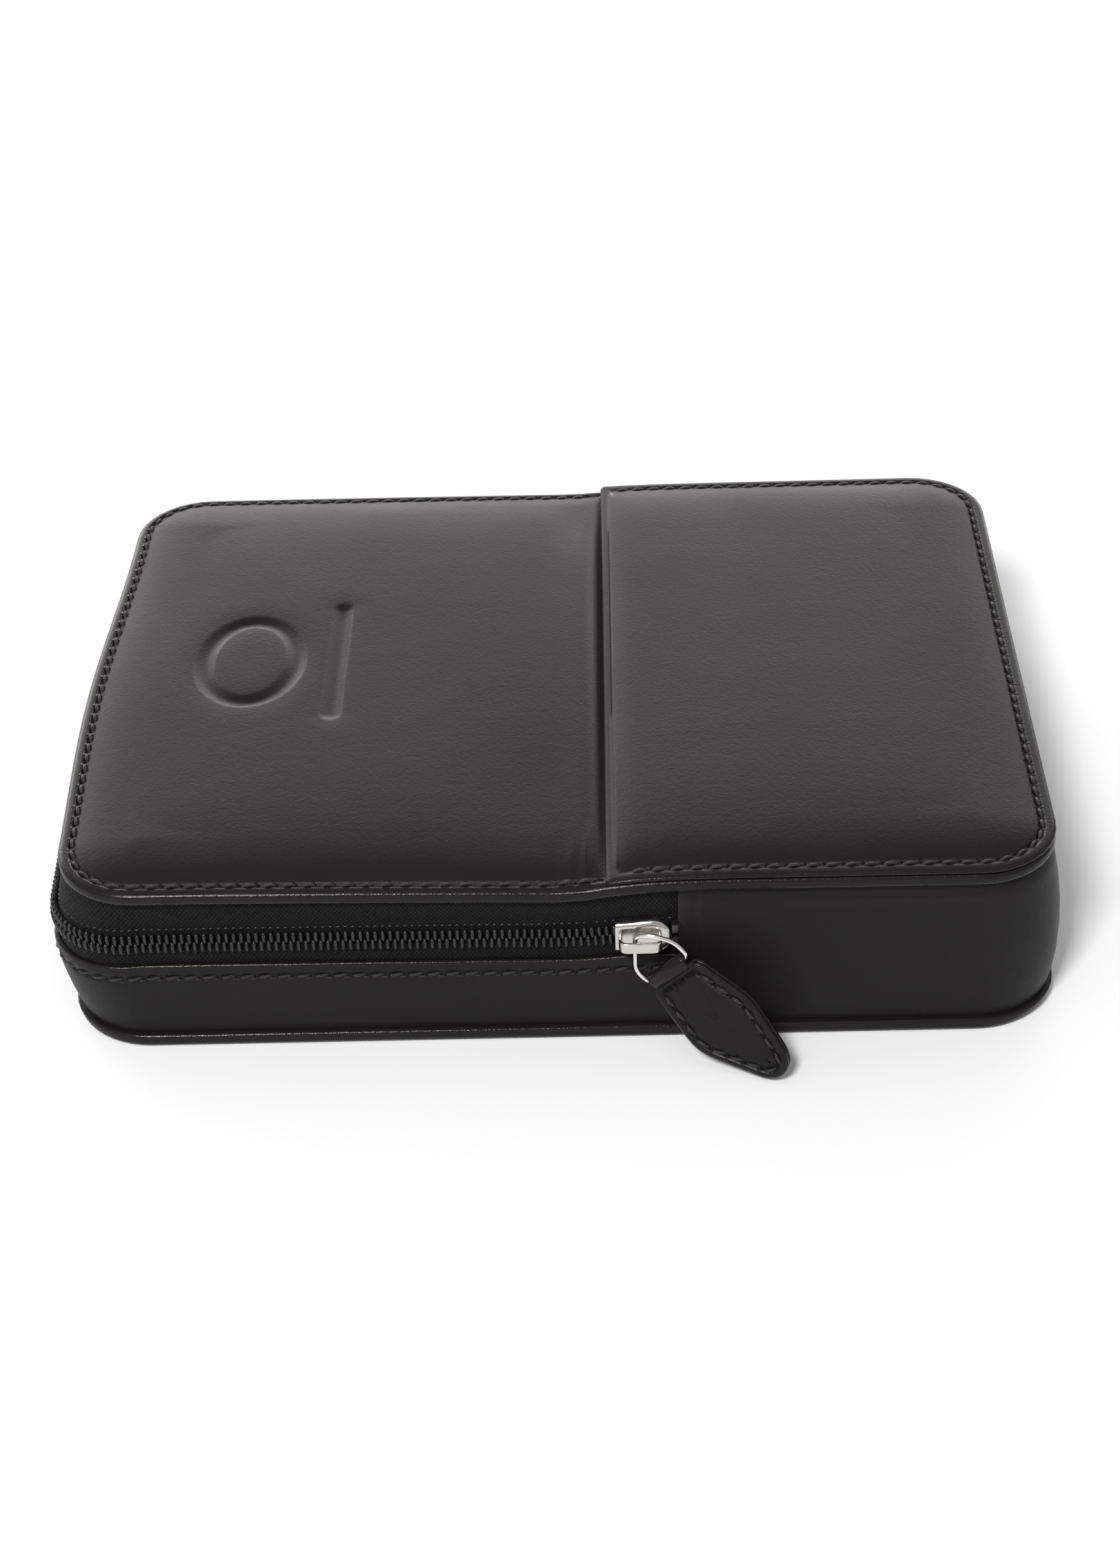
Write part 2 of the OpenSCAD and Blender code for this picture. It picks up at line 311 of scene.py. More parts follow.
def shader_group(name, inputs, outputs):
    tree = bpy.data.node_groups.new(name, "ShaderNodeTree")
    for label, value in inputs.items():
        socket = tree.interface.new_socket(label, in_out="INPUT", socket_type="NodeSocketFloat")
        socket.default_value = value
    for label in outputs:
        tree.interface.new_socket(label, in_out="OUTPUT", socket_type="NodeSocketFloat")
    return tree, tree.nodes.new("NodeGroupInput"), tree.nodes.new("NodeGroupOutput")


def millimetres(tree):
    place = add_node(tree, "ShaderNodeTexCoord")
    return add_node(tree, "ShaderNodeVectorMath", {0: place.outputs["Object"], 1: (1000,) * 3},
                    operation="MULTIPLY")


def reckon(tree, first, second, operation="ADD", clamp=False):
    """One sum, product or other operation on two values."""
    return add_node(tree, "ShaderNodeMath", {0: first, 1: second}, operation=operation,
                    use_clamp=clamp)


def mixed(tree, share, first, second):
    """The colour that lies between two others by share."""
    return add_node(tree, "ShaderNodeMix", {0: share, 6: first, 7: second}, data_type="RGBA").outputs[2]


def noise(tree, place, scale, detail, **more):
    return add_node(tree, "ShaderNodeTexNoise", {"Vector": place, "Scale": scale, "Detail": detail, **more})


def bumped(tree, distance, height, **more):
    return add_node(tree, "ShaderNodeBump", {"Strength": 1.0, "Distance": distance, "Height": height, **more})


# The fine grain of the leather: pebbles with pores between them, creases, and patches
grain, grain_in, grain_out = shader_group(
    "leather_grain", {"Pebble": 0.55, "Crease": 0.25}, ["Height", "Patch", "Speck"])
where = millimetres(grain)
per_mm = reckon(grain, 1.0, grain_in.outputs["Pebble"], "DIVIDE")
warp = noise(grain, where, 1.4, 2.0)
moved = add_node(grain, "ShaderNodeVectorMath", {0: where, 1: warp.outputs["Color"]}, operation="ADD")
pebble = add_node(grain, "ShaderNodeTexVoronoi", {"Vector": moved, "Scale": per_mm},
                  feature="SMOOTH_F1")
pore = noise(grain, where, 4.5, 3.0)
crease = noise(grain, where, 0.35, 4.0, Distortion=0.6)
creases = reckon(grain, crease.outputs["Fac"], grain_in.outputs["Crease"], "MULTIPLY")
bumps = reckon(grain, reckon(grain, 0.85, pebble.outputs["Distance"], "SUBTRACT"), 0.55, "MULTIPLY")
pores = reckon(grain, pore.outputs["Fac"], 0.3, "MULTIPLY")
grain.links.new(reckon(grain, reckon(grain, bumps, pores), creases).outputs[0], grain_out.inputs["Height"])
patch = noise(grain, where, 0.045, 3.0)
grain.links.new(patch.outputs["Fac"], grain_out.inputs["Patch"])
grain.links.new(pore.outputs["Fac"], grain_out.inputs["Speck"])

# The dents that a row of stitches pulls into leather, from the rows UV in millimetres
dents, dents_in, dents_out = shader_group(
    "stitch_dents", {"Pitch": 3.2, "Length": 2.1, "Width": 1.0}, ["Dent", "Hole"])
rows = add_node(dents, "ShaderNodeUVMap", uv_map="rows")
split = add_node(dents, "ShaderNodeSeparateXYZ", {0: rows})
turns = reckon(dents, split.outputs[0], dents_in.outputs["Pitch"], "DIVIDE")
phase = reckon(dents, reckon(dents, reckon(dents, turns, 0.5), 1.0, "FLOORED_MODULO"), 0.5, "SUBTRACT")
off = reckon(dents, phase, dents_in.outputs["Pitch"], "MULTIPLY")
off = add_node(dents, "ShaderNodeMath", {0: off}, operation="ABSOLUTE")
half_stitch = reckon(dents, dents_in.outputs["Length"], 0.5, "MULTIPLY")
beyond = reckon(dents, reckon(dents, off, half_stitch, "SUBTRACT"), 0.0, "MAXIMUM")
aside = add_node(dents, "ShaderNodeMath", {0: split.outputs[1]}, operation="ABSOLUTE")
reach = add_node(dents, "ShaderNodeMath", {0: reckon(dents, reckon(dents, beyond, beyond, "MULTIPLY"),
                 reckon(dents, aside, aside, "MULTIPLY"))}, operation="SQRT")
near = reckon(dents, 1.0, reckon(dents, reach, dents_in.outputs["Width"], "DIVIDE"), "SUBTRACT", True)
dents.links.new(reckon(dents, near, near, "MULTIPLY").outputs[0], dents_out.inputs["Dent"])
# Hole: the stitch holes, sunk deeper and painted near black as shade
to_hole = reckon(dents, off, half_stitch, "SUBTRACT")
hole_reach = add_node(dents, "ShaderNodeMath", {
    0: reckon(dents, reckon(dents, to_hole, to_hole, "MULTIPLY"),
              reckon(dents, aside, aside, "MULTIPLY"))}, operation="SQRT")
hole = reckon(dents, 1.0, reckon(dents, hole_reach, 0.35, "DIVIDE"), "SUBTRACT", True)
dents.links.new(hole.outputs[0], dents_out.inputs["Hole"])


def leather(name, black=leather_black, edge_wear_and_highlight=leather_wear_and_highlight, pebble=0.55, depth=0.06, dull=0.40,
            pitch=3.2):
    """Smooth calf leather, glossier and paler at its convex edges: partly rubbed wear, partly a painted
    highlight.
    """
    material, tree, shader = surface(name, {"Specular IOR Level": 0.19})
    grained = add_node(tree, "ShaderNodeGroup", node_tree=grain)
    grained.inputs["Pebble"].default_value = pebble
    stitched = add_node(tree, "ShaderNodeGroup", node_tree=dents)
    stitched.inputs["Pitch"].default_value = pitch
    edge = add_node(tree, "ShaderNodeAttribute", attribute_name="edge_wear_and_highlight")
    # Convex edges are painted paler and made glossier: partly rubbed wear, partly a painted highlight
    rub_and_highlight = add_node(tree, "ShaderNodeMapRange", {
        0: reckon(tree, edge.outputs["Fac"], reckon(tree, grained.outputs["Speck"], 0.5, "MULTIPLY"),
                  "ADD"), 1: 0.5, 2: 1.2, 3: 0.0, 4: 0.6})
    deep = tuple(0.72 * channel for channel in black[:3]) + (1,)
    pale = tuple(1.3 * channel for channel in black[:3]) + (1,)
    tone = mixed(tree, grained.outputs["Patch"], deep, pale)
    tone = mixed(tree, rub_and_highlight, tone, edge_wear_and_highlight)
    # Painted shade: the stitch holes are painted near black
    tone = mixed(tree, stitched.outputs["Hole"], tone, (0.001, 0.001, 0.001, 1))
    gloss = reckon(tree, dull, reckon(tree, grained.outputs["Patch"], 0.12, "MULTIPLY"))
    gloss = reckon(tree, gloss, reckon(tree, grained.outputs["Speck"], 0.08, "MULTIPLY"))
    gloss = reckon(tree, gloss, reckon(tree, rub_and_highlight, 0.6, "MULTIPLY"), "SUBTRACT")
    grain_bump = bumped(tree, depth * 0.001, grained.outputs["Height"])
    pulled = reckon(tree, stitched.outputs["Dent"], stitched.outputs["Hole"])
    bump = add_node(tree, "ShaderNodeBump", {"Strength": 1.0, "Distance": 0.0006,
                    "Height": pulled, "Normal": grain_bump}, invert=True)
    feed(tree, shader, Base_Color=tone, Roughness=gloss, Normal=bump)
    return material


case_leather = leather("case_leather")

base_profile = rounded([
    (0.0, 2.25, 0.7), (0.0, 0.0, 0.8), (1.8, 0.02, 0.3), (2.4, 0.22, 0.3), (3.0, 0.02, 0.3),
    (6.0, 0.0, 0), (6.0, 1.0, 0), (1.02, 1.0, 0), (1.02, 2.2, 0), (2.1, 2.2, 0), (2.1, 2.32, 0)])
row_point = min(range(len(base_profile)),
                key=lambda k: abs(base_profile[k][0] - row_inset) + abs(base_profile[k][1] - 0.2))
round_path = all_round()
base_parts = swept(round_path, base_profile, row_point, cap=False)
inner = round_path[0] + round_path[1] * (corner - 6.0)
for level, order in ((0.0, 1), (1.0, -1)):
    base_parts.append((np.c_[inner[:-1], inner[:-1, 0] * 0 + level],
                       [list(range(len(inner) - 1))[::order]], None))
base_cover = tidy_piece("base_leather", base_parts, case_leather)
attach(base_cover, "case")
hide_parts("base_cover")


# A row of stitches: a waxed thread that humps up between its holes, once a pitch
thread, thread_tree, thread_shader = surface(
    "waxed_thread", {"Specular IOR Level": 0.4, "Roughness": 0.5})
twist = add_node(thread_tree, "ShaderNodeTexWave", {
    "Vector": millimetres(thread_tree), "Scale": 1.9, "Distortion": 0.6}, bands_direction="DIAGONAL")
thread_tone = mixed(thread_tree, twist.outputs["Fac"], (0.006, 0.006, 0.006, 1), (0.022, 0.021, 0.020, 1))
thread_bump = add_node(thread_tree, "ShaderNodeBump", {
    "Strength": 0.8, "Distance": 0.00006, "Height": twist.outputs["Fac"]})
feed(thread_tree, thread_shader, Base_Color=thread_tone, Normal=thread_bump)


def nodes_tree(name, inputs):
    tree = bpy.data.node_groups.new(name, "GeometryNodeTree")
    tree.interface.new_socket("Geometry", in_out="INPUT", socket_type="NodeSocketGeometry")
    for label, value in inputs.items():
        kind = "NodeSocketMaterial" if label == "Material" else "NodeSocketFloat"
        socket = tree.interface.new_socket(label, in_out="INPUT", socket_type=kind)
        if value is not None:
            socket.default_value = value
    tree.interface.new_socket("Geometry", in_out="OUTPUT", socket_type="NodeSocketGeometry")
    return tree, tree.nodes.new("NodeGroupInput"), tree.nodes.new("NodeGroupOutput")


def along_path(tree, group_in, item, tilt=0.0):
    """Sets item on the path once a pitch: X along the path and Z along its up attribute."""
    line = add_node(tree, "GeometryNodeMeshToCurve", {0: group_in.outputs["Geometry"]})
    marks = add_node(tree, "GeometryNodeCurveToPoints", {
        "Curve": line, "Length": group_in.outputs["Pitch"]}, mode="LENGTH")
    first = add_node(tree, "FunctionNodeAlignRotationToVector", {"Vector": marks.outputs["Tangent"]},
                     axis="X")
    up = add_node(tree, "GeometryNodeInputNamedAttribute", {"Name": "up"}, data_type="FLOAT_VECTOR")
    second = add_node(tree, "FunctionNodeAlignRotationToVector", {
        "Rotation": first, "Vector": up}, axis="Z", pivot_axis="X")
    placed = add_node(tree, "GeometryNodeInstanceOnPoints", {
        "Points": marks.outputs["Points"], "Instance": item, "Rotation": second})
    placed = add_node(tree, "GeometryNodeRotateInstances", {
        "Instances": placed, "Rotation": (0.0, 0.0, tilt)})
    solid = add_node(tree, "GeometryNodeRealizeInstances", {0: placed})
    return add_node(tree, "GeometryNodeSetMaterial", {
        "Geometry": solid, "Material": group_in.outputs["Material"]})


stitching, stitching_in, stitching_out = nodes_tree(
    "stitching", {"Pitch": 0.0032, "Length": 0.0023, "Thread": 0.00034, "Hump": 0.00056,
                  "Material": None})
ends = {}
for sign in (-1, 1):
    reach_x = add_node(stitching, "ShaderNodeMath", {0: stitching_in.outputs["Length"], 1: 0.5 * sign},
                       operation="MULTIPLY")
    ends[sign] = add_node(stitching, "ShaderNodeCombineXYZ", {0: reach_x, 2: -0.00032})
top = add_node(stitching, "ShaderNodeCombineXYZ", {2: stitching_in.outputs["Hump"]})
arc = add_node(stitching, "GeometryNodeCurveQuadraticBezier", {
    "Resolution": 6, "Start": ends[-1], "Middle": top, "End": ends[1]})
ring = add_node(stitching, "GeometryNodeCurvePrimitiveCircle", {
    "Resolution": 6, "Radius": stitching_in.outputs["Thread"]})
stitch = add_node(stitching, "GeometryNodeCurveToMesh", {
    "Curve": arc, "Profile Curve": ring, "Fill Caps": True})
sewn = along_path(stitching, stitching_in, stitch, tilt=0.16)
stitching.links.new(sewn.outputs[0], stitching_out.inputs[0])


def path_mesh(name, points, ups):
    mesh = bpy.data.meshes.new(name)
    mesh.from_pydata([tuple(p) for p in points * 0.001], [(k, k + 1) for k in range(len(points) - 1)], [])
    mark = mesh.attributes.new("up", "FLOAT_VECTOR", "POINT")
    mark.data.foreach_set("vector", np.asarray(ups, np.float32).ravel())
    piece = bpy.data.objects.new(name, mesh)
    bpy.context.collection.objects.link(piece)
    return piece


def grown(name, lines, tree, material, values):
    """A plain mesh of what a node tree grows along lines, each points and ups."""
    made = []
    for points, ups in lines:
        carrier = path_mesh(name, np.asarray(points, float), ups)
        modifier = carrier.modifiers.new("grow", "NODES")
        modifier.node_group = tree
        for item in tree.interface.items_tree:
            if item.in_out == "INPUT" and item.name == "Material":
                modifier[item.identifier] = material
            elif item.in_out == "INPUT" and item.name in values:
                modifier[item.identifier] = float(values[item.name])
        bpy.context.view_layer.update()
        graph = bpy.context.evaluated_depsgraph_get()
        mesh = bpy.data.meshes.new_from_object(carrier.evaluated_get(graph))
        bpy.data.objects.remove(carrier)
        made.append(mesh)
    shape = bmesh.new()
    for mesh in made:
        shape.from_mesh(mesh)
    whole = bpy.data.meshes.new(name)
    shape.to_mesh(whole)
    shape.free()
    whole.materials.append(material)
    whole.shade_smooth()
    piece = bpy.data.objects.new(name, whole)
    bpy.context.collection.objects.link(piece)
    return piece


def row_on(path, inset, height, up=None):
    """A line of stitches at one inset and height along a path; up None means outwards."""
    base, out, along = path
    flat = np.full(len(base), float(inset))
    points = settle(base, out, flat, np.full(len(base), float(height)))
    ups = np.c_[out, out[:, 0] * 0] if up is None else np.repeat([up], len(base), 0)
    return points, ups


def fitted_pitch(length, pitch=3.2):
    return length / round(length / pitch)


base_pitch = fitted_pitch(round_path[2][-1])
base_row = row_on(round_path, row_inset, 0.32, (0, 0, -1))
base_stitches = grown("base_stitches", [base_row], stitching, thread,
                      {"Pitch": base_pitch * 0.001, "Hump": 0.0003})
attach(base_stitches, "case")

# ---- Board, foam and lining of the base ----
# A greyboard stiffens the base. Thin foam lies on it under a plush lining, and the
# lining turns up the walls over a thinner board. They are sheets, as cut.

board, board_tree, board_shader = surface("greyboard", {"Specular IOR Level": 0.2, "Roughness": 0.9})
fibre = noise(board_tree, millimetres(board_tree), 1.6, 5.0)
board_tone = mixed(board_tree, fibre.outputs["Fac"], (0.10, 0.075, 0.05, 1), (0.20, 0.16, 0.12, 1))
feed(board_tree, board_shader, Base_Color=board_tone)

foam, foam_tree, foam_shader = surface("foam", {"Specular IOR Level": 0.2, "Roughness": 0.95})
cells = add_node(foam_tree, "ShaderNodeTexVoronoi", {"Vector": millimetres(foam_tree), "Scale": 2.5})
foam_tone = mixed(foam_tree, cells.outputs["Distance"], (0.03, 0.03, 0.032, 1), (0.06, 0.06, 0.065, 1))
foam_bump = bumped(foam_tree, 0.0001, cells.outputs["Distance"])
feed(foam_tree, foam_shader, Base_Color=foam_tone, Normal=foam_bump)

# Woven cloth, from fine warp and weft ribs with uneven yarns and a little lint
weave, weave_in, weave_out = shader_group(
    "weave", {"Yarns": 2.2, "Lint": 0.4}, ["Height", "Tone"])
at = millimetres(weave)
wobble = noise(weave, at, 0.8, 2.0)
shaken = add_node(weave, "ShaderNodeVectorMath", {0: at, 1: add_node(
    weave, "ShaderNodeVectorMath", {0: wobble.outputs["Color"], 1: (0.3, 0.3, 0.3)},
    operation="MULTIPLY")}, operation="ADD")
parts_of = add_node(weave, "ShaderNodeSeparateXYZ", {0: shaken})
slant = reckon(weave, parts_of.outputs[0], parts_of.outputs[1])
cross = reckon(weave, reckon(weave, parts_of.outputs[0], parts_of.outputs[1], "SUBTRACT"),
               parts_of.outputs[2])
waves = []
for direction in (slant, cross):
    turned = reckon(weave, reckon(weave, direction, weave_in.outputs["Yarns"], "MULTIPLY"), full_turn,
                    "MULTIPLY")
    waves.append(add_node(weave, "ShaderNodeMath", {0: turned}, operation="SINE"))
woven = reckon(weave, reckon(weave, waves[0], waves[1], "MULTIPLY"), 0.5, "MULTIPLY")
fluff = noise(weave, at, 5.0, 4.0)
lint = reckon(weave, fluff.outputs["Fac"], weave_in.outputs["Lint"], "MULTIPLY")
weave.links.new(reckon(weave, reckon(weave, woven, 0.5), lint).outputs[0], weave_out.inputs["Height"])
weave.links.new(reckon(weave, fluff.outputs["Fac"], reckon(weave, woven, 0.3, "MULTIPLY")).outputs[0],
                weave_out.inputs["Tone"])


def cloth(name, dark, light, yarns=2.2, lint_depth=0.4, depth=0.12, rough=0.85, sheen=0.3):
    material, tree, shader = surface(name, {
        "Specular IOR Level": 0.25, "Roughness": rough, "Sheen Weight": sheen, "Sheen Roughness": 0.4})
    cloth_weave = add_node(tree, "ShaderNodeGroup", node_tree=weave)
    cloth_weave.inputs["Yarns"].default_value = yarns
    cloth_weave.inputs["Lint"].default_value = lint_depth
    tone = mixed(tree, cloth_weave.outputs["Tone"], dark, light)
    bump = bumped(tree, depth * 0.001, cloth_weave.outputs["Height"])
    feed(tree, shader, Base_Color=tone, Normal=bump)
    return material


plush = cloth("plush_lining", (0.018, 0.018, 0.020, 1), (0.050, 0.050, 0.056, 1), 1.6, 1.3, 0.10)


def finish_nodes(material, *nodes):
    for node in nodes:
        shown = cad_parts[node].data.materials
        for k in range(max(1, len(shown))):
            if len(shown) > k:
                shown[k] = material
            else:
                shown.append(material)


finish_nodes(board, "base_board", "end_wall_board")
finish_nodes(foam, "base_foam_pad")
finish_nodes(plush, "base_lining", "end_wall_lining")

# ---- Lower wall, under the zip ----
# A strip of the same leather stands on the base from one end of the zip to the
# other. Its top edge is turned in and stitched down over the zip's tape.

zip_path = outline(zip_end, -1)
zip_row = fitted_pitch(zip_path[2][-1])
wall_leather = leather("wall_leather", dull=0.44)
low_row_z = 14.3
low_wall_profile = rounded([
    (1.2, 2.15, 0.2), (2.25, 2.15, 0.2), (2.25, 16.9, 0.6), (1.15, 16.95, 0.55), (1.06, 15.4, 0.3),
    (1.24, low_row_z, 0.3), (1.08, 13.2, 0.4), (1.0, 10.5, 0), (0.98, 7.0, 0), (1.08, 4.0, 0)])
low_row = min(range(len(low_wall_profile)),
              key=lambda k: abs(low_wall_profile[k][1] - low_row_z) + abs(low_wall_profile[k][0] - 1.24))
low_wall_leather = leather("low_wall_leather", dull=0.44, pitch=zip_row)
low_wall = tidy_piece("low_wall", swept(zip_path, low_wall_profile, low_row), low_wall_leather)
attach(low_wall, "case")
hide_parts("zip_wall")
low_stitches = grown("low_wall_stitches", [row_on(zip_path, 1.26, low_row_z)], stitching, thread,
                     {"Pitch": zip_row * 0.001})
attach(low_stitches, "case")

for name, profile, material, slot_name in (
        ("zip_wall_stiffener", [(2.25, 2.15), (2.25, 9.35), (2.75, 9.35), (2.75, 2.15)], board, "board"),
        ("zip_wall_cloth", [(2.82, 2.2), (2.82, 9.6), (2.8, 16.9), (2.9, 17.15), (3.15, 17.15),
                            (3.36, 16.9), (3.4, 9.6), (3.4, 2.2)], plush, "lining_fabric")):
    inner_wall = tidy_piece(name, swept(zip_path, profile), material)
    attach(inner_wall, "case")
    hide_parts({"board": "zip_wall_board", "lining_fabric": "zip_wall_lining"}[slot_name])

# ---- End wall, round the closed half ----
# One full-height piece of leather closes the other end. Each of its upright
# edges is folded back on itself over the end of the zip.

closed_path = outline(zip_end + 0.05, 1, step=1.2)
end_profile = rounded([
    (1.2, 2.15, 0.2), (2.2, 2.15, 0.2), (2.2, 30.85, 0.2), (1.75, 30.85, 0.2), (1.7, 30.1, 0.3),
    (1.3, 29.0, 0.5), (0.95, 27.5, 0), (0.85, 24.0, 0), (0.8, 19.0, 0), (0.82, 14.0, 0), (0.9, 9.0, 0),
    (1.0, 5.0, 0)])
end_parts = swept(closed_path, end_profile)


def folded_edge(points):
    """The wall swells at its folded edges, and has a shallow crease behind each."""
    moved_points = np.array(points, float)
    distance = moved_points[:, 0] - zip_end
    side = np.sign(moved_points[:, 1])
    outer = np.abs(moved_points[:, 1]) > half_width - 1.7
    ridge = 0.34 * np.exp(-((distance - 0.7) / 0.75) ** 2) - 0.16 * np.exp(-((distance - 2.2) / 0.6) ** 2)
    ridge = ridge + 0.12 * np.exp(-((distance - 3.3) / 0.8) ** 2)
    straight = (moved_points[:, 0] < 60) & (moved_points[:, 2] > 17.2) & outer
    moved_points[:, 1] += np.where(straight, side * ridge, 0)
    return moved_points


end_parts = [(folded_edge(p), f, uv) for p, f, uv in end_parts]
end_wall = tidy_piece("end_wall_leather", end_parts, wall_leather)
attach(end_wall, "case")
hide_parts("end_wall")

# ---- Zip tapes ----
# Two woven polyester tapes, the lower sewn to the case and the upper to the lid.
# The upper one carries on past the fold, sewn to the closed half.

tape, tape_tree, tape_shader = surface("zip_tape", {
    "Specular IOR Level": 0.14, "Roughness": 0.8, "Sheen Weight": 0.04, "Sheen Roughness": 0.35})
tape_uv = add_node(tape_tree, "ShaderNodeUVMap", uv_map="rows")
tape_at = add_node(tape_tree, "ShaderNodeSeparateXYZ", {0: tape_uv})
knit = []
for axis, per in ((0, 1.3), (1, 0.95)):
    angle = reckon(tape_tree, tape_at.outputs[axis], per * full_turn, "MULTIPLY")
    knit.append(add_node(tape_tree, "ShaderNodeMath", {0: angle}, operation="SINE"))
fuzz = noise(tape_tree, millimetres(tape_tree), 2.6, 5.0, Roughness=0.7)
ribs = reckon(tape_tree, reckon(tape_tree, knit[0], knit[1], "MULTIPLY"), 0.25, "MULTIPLY")
tape_height = reckon(tape_tree, ribs, fuzz.outputs["Fac"])
tape_mask = add_node(tape_tree, "ShaderNodeMapRange", {0: tape_height, 1: 0.35, 2: 0.95})
tape_tone = mixed(tape_tree, tape_mask, (0.0016, 0.0015, 0.0018, 1), (0.017, 0.016, 0.018, 1))
tape_bump = bumped(tape_tree, 0.00022, tape_height)
feed(tape_tree, tape_shader, Base_Color=tape_tone, Normal=tape_bump)

fold_x, half_cut = 6.5, 0.01
lid_path = outline(fold_x - half_cut, -1)
tape_low = [(2.3, 9.6), (2.25, 16.0), (2.1, 17.6), (2.15, 19.2), (2.2, 21.88), (2.75, 21.88), (2.75, 9.6)]
tape_high = [(2.2, 21.97), (2.2, 24.0), (2.05, 25.4), (1.85, 27.0), (1.75, 28.6), (1.85, 30.3),
             (2.0, 31.0), (2.75, 31.0), (2.75, 21.97)]
lower_tape = tidy_piece("lower_tape", swept(zip_path, tape_low), tape)
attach(lower_tape, "case")
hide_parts("zip_tape_lower")
upper_tape = tidy_piece("upper_tape", swept(lid_path, tape_high), tape)
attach(upper_tape, "lid")
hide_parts("zip_tape_upper")


def past_fold(side, start, end):
    """The straight run at the front or back between two places on the x axis."""
    x = np.linspace(start, end, 12)
    line = np.c_[x, x * 0 + side * (half_width - corner), x * 0, x * 0 + side]
    return path_of(line)


tape_ends = tidy_piece(
    "upper_tape_ends", [part for side in (-1, 1)
                        for part in swept(past_fold(side, fold_x + half_cut, zip_end), tape_high)], tape)
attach(tape_ends, "case")
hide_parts("zip_tape_ends")

# ---- Zip coils ----
# Each coil is one nylon thread wound in flat loops and sewn to its tape. The loops
# of the upper and the lower coil mesh by half a pitch.

nylon, nylon_tree, nylon_shader = surface("nylon_coil", {"Specular IOR Level": 0.4})
nylon_noise = noise(nylon_tree, millimetres(nylon_tree), 1.2, 3.0)
nylon_tone = mixed(nylon_tree, nylon_noise.outputs["Fac"], (0.006, 0.006, 0.007, 1),
                   (0.022, 0.021, 0.022, 1))
nylon_gloss = add_node(nylon_tree, "ShaderNodeMapRange", {
    0: nylon_noise.outputs["Fac"], 3: 0.22, 4: 0.42})
feed(nylon_tree, nylon_shader, Base_Color=nylon_tone, Roughness=nylon_gloss)

coiling, coiling_in, coiling_out = nodes_tree(
    "coiling", {"Pitch": 0.00126, "Depth": 0.0006, "Reach": 0.0017, "Wire": 0.00034, "Material": None})
loop = add_node(coiling, "GeometryNodeCurvePrimitiveQuadrilateral", {
    "Width": coiling_in.outputs["Depth"], "Height": coiling_in.outputs["Reach"]})
soft_loop = add_node(coiling, "GeometryNodeFilletCurve", {
    "Curve": loop, "Radius": 0.0003, "Count": 2, "Limit Radius": True}, mode="POLY")
wire = add_node(coiling, "GeometryNodeCurvePrimitiveCircle", {
    "Resolution": 6, "Radius": coiling_in.outputs["Wire"]})
winding = add_node(coiling, "GeometryNodeCurveToMesh", {"Curve": soft_loop, "Profile Curve": wire})
stood = add_node(coiling, "GeometryNodeTransform", {
    "Geometry": winding, "Rotation": (math.radians(90), math.radians(9), math.radians(90))})
coiled = along_path(coiling, coiling_in, stood)
coiling.links.new(coiled.outputs[0], coiling_out.inputs[0])

coil_pitch, half_loop, coil_inset = 1.26, 0.63, 1.6
lower_coil_z, upper_coil_z = 20.7, 22.5
seam_inset, lower_seam_z, upper_seam_z = 2.2, 19.2, 24.0


def coil_line(path, height, start):
    """The centre line of a coil, from start along the path. Up is up here."""
    base, out, along = path
    keep = np.arange(start, along[-1], half_loop)
    base = np.c_[np.interp(keep, along, base[:, 0]), np.interp(keep, along, base[:, 1])]
    out = np.c_[np.interp(keep, along, out[:, 0]), np.interp(keep, along, out[:, 1])]
    out = out / np.linalg.norm(out, axis=1)[:, None]
    return row_on((base, out, keep), coil_inset, height, (0, 0, 1))


coil_end = 19.2
coil_path = outline(coil_end, -1, step=half_loop, turn=24)
lower_coil = grown("lower_coil", [coil_line(coil_path, lower_coil_z, 0.0)], coiling, nylon, {})
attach(lower_coil, "case")
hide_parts("zip_coil_lower")
fold_pitches = math.ceil((coil_end - fold_x + 0.5) / coil_pitch)
lid_coil_path = outline(coil_end - (fold_pitches + 0.5) * coil_pitch, -1, step=half_loop, turn=24)
upper_coil = grown("upper_coil", [coil_line(lid_coil_path, upper_coil_z, 0.0)], coiling, nylon, {})
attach(upper_coil, "lid")
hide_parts("zip_coil_upper")
ends_lines = []
for side in (-1, 1):
    run = past_fold(side, coil_end - 0.5 * coil_pitch, coil_end - (fold_pitches - 0.5) * coil_pitch)
    ends_lines.append(row_on(run, coil_inset, upper_coil_z, (0, 0, 1)))
coil_ends = grown("upper_coil_ends", ends_lines, coiling, nylon, {})
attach(coil_ends, "case")
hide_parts("zip_coil_ends")

# Each coil is sewn down beyond its loops by a row of fine thread
for name, lines, body in (
        ("lower_coil_seam", [row_on(coil_path, seam_inset, lower_seam_z)], "case"),
        ("upper_coil_seam", [row_on(lid_coil_path, seam_inset, upper_seam_z)], "lid"),
        ("coil_end_seams", [row_on(past_fold(side, coil_end, fold_x + 0.4), seam_inset, upper_seam_z)
                            for side in (-1, 1)], "case")):
    coil_seam = grown(name, lines, stitching, nylon, {
        "Pitch": coil_pitch * 0.001, "Length": 0.0009, "Thread": 0.0002, "Hump": 0.0002})
    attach(coil_seam, body)

# ---- Zip stops, slider and bridge ----
# Nickel-plated metal: two small blocks at the top end and one at the bottom end,
# and the slider, a pressed body with a bent strap that holds the ring.

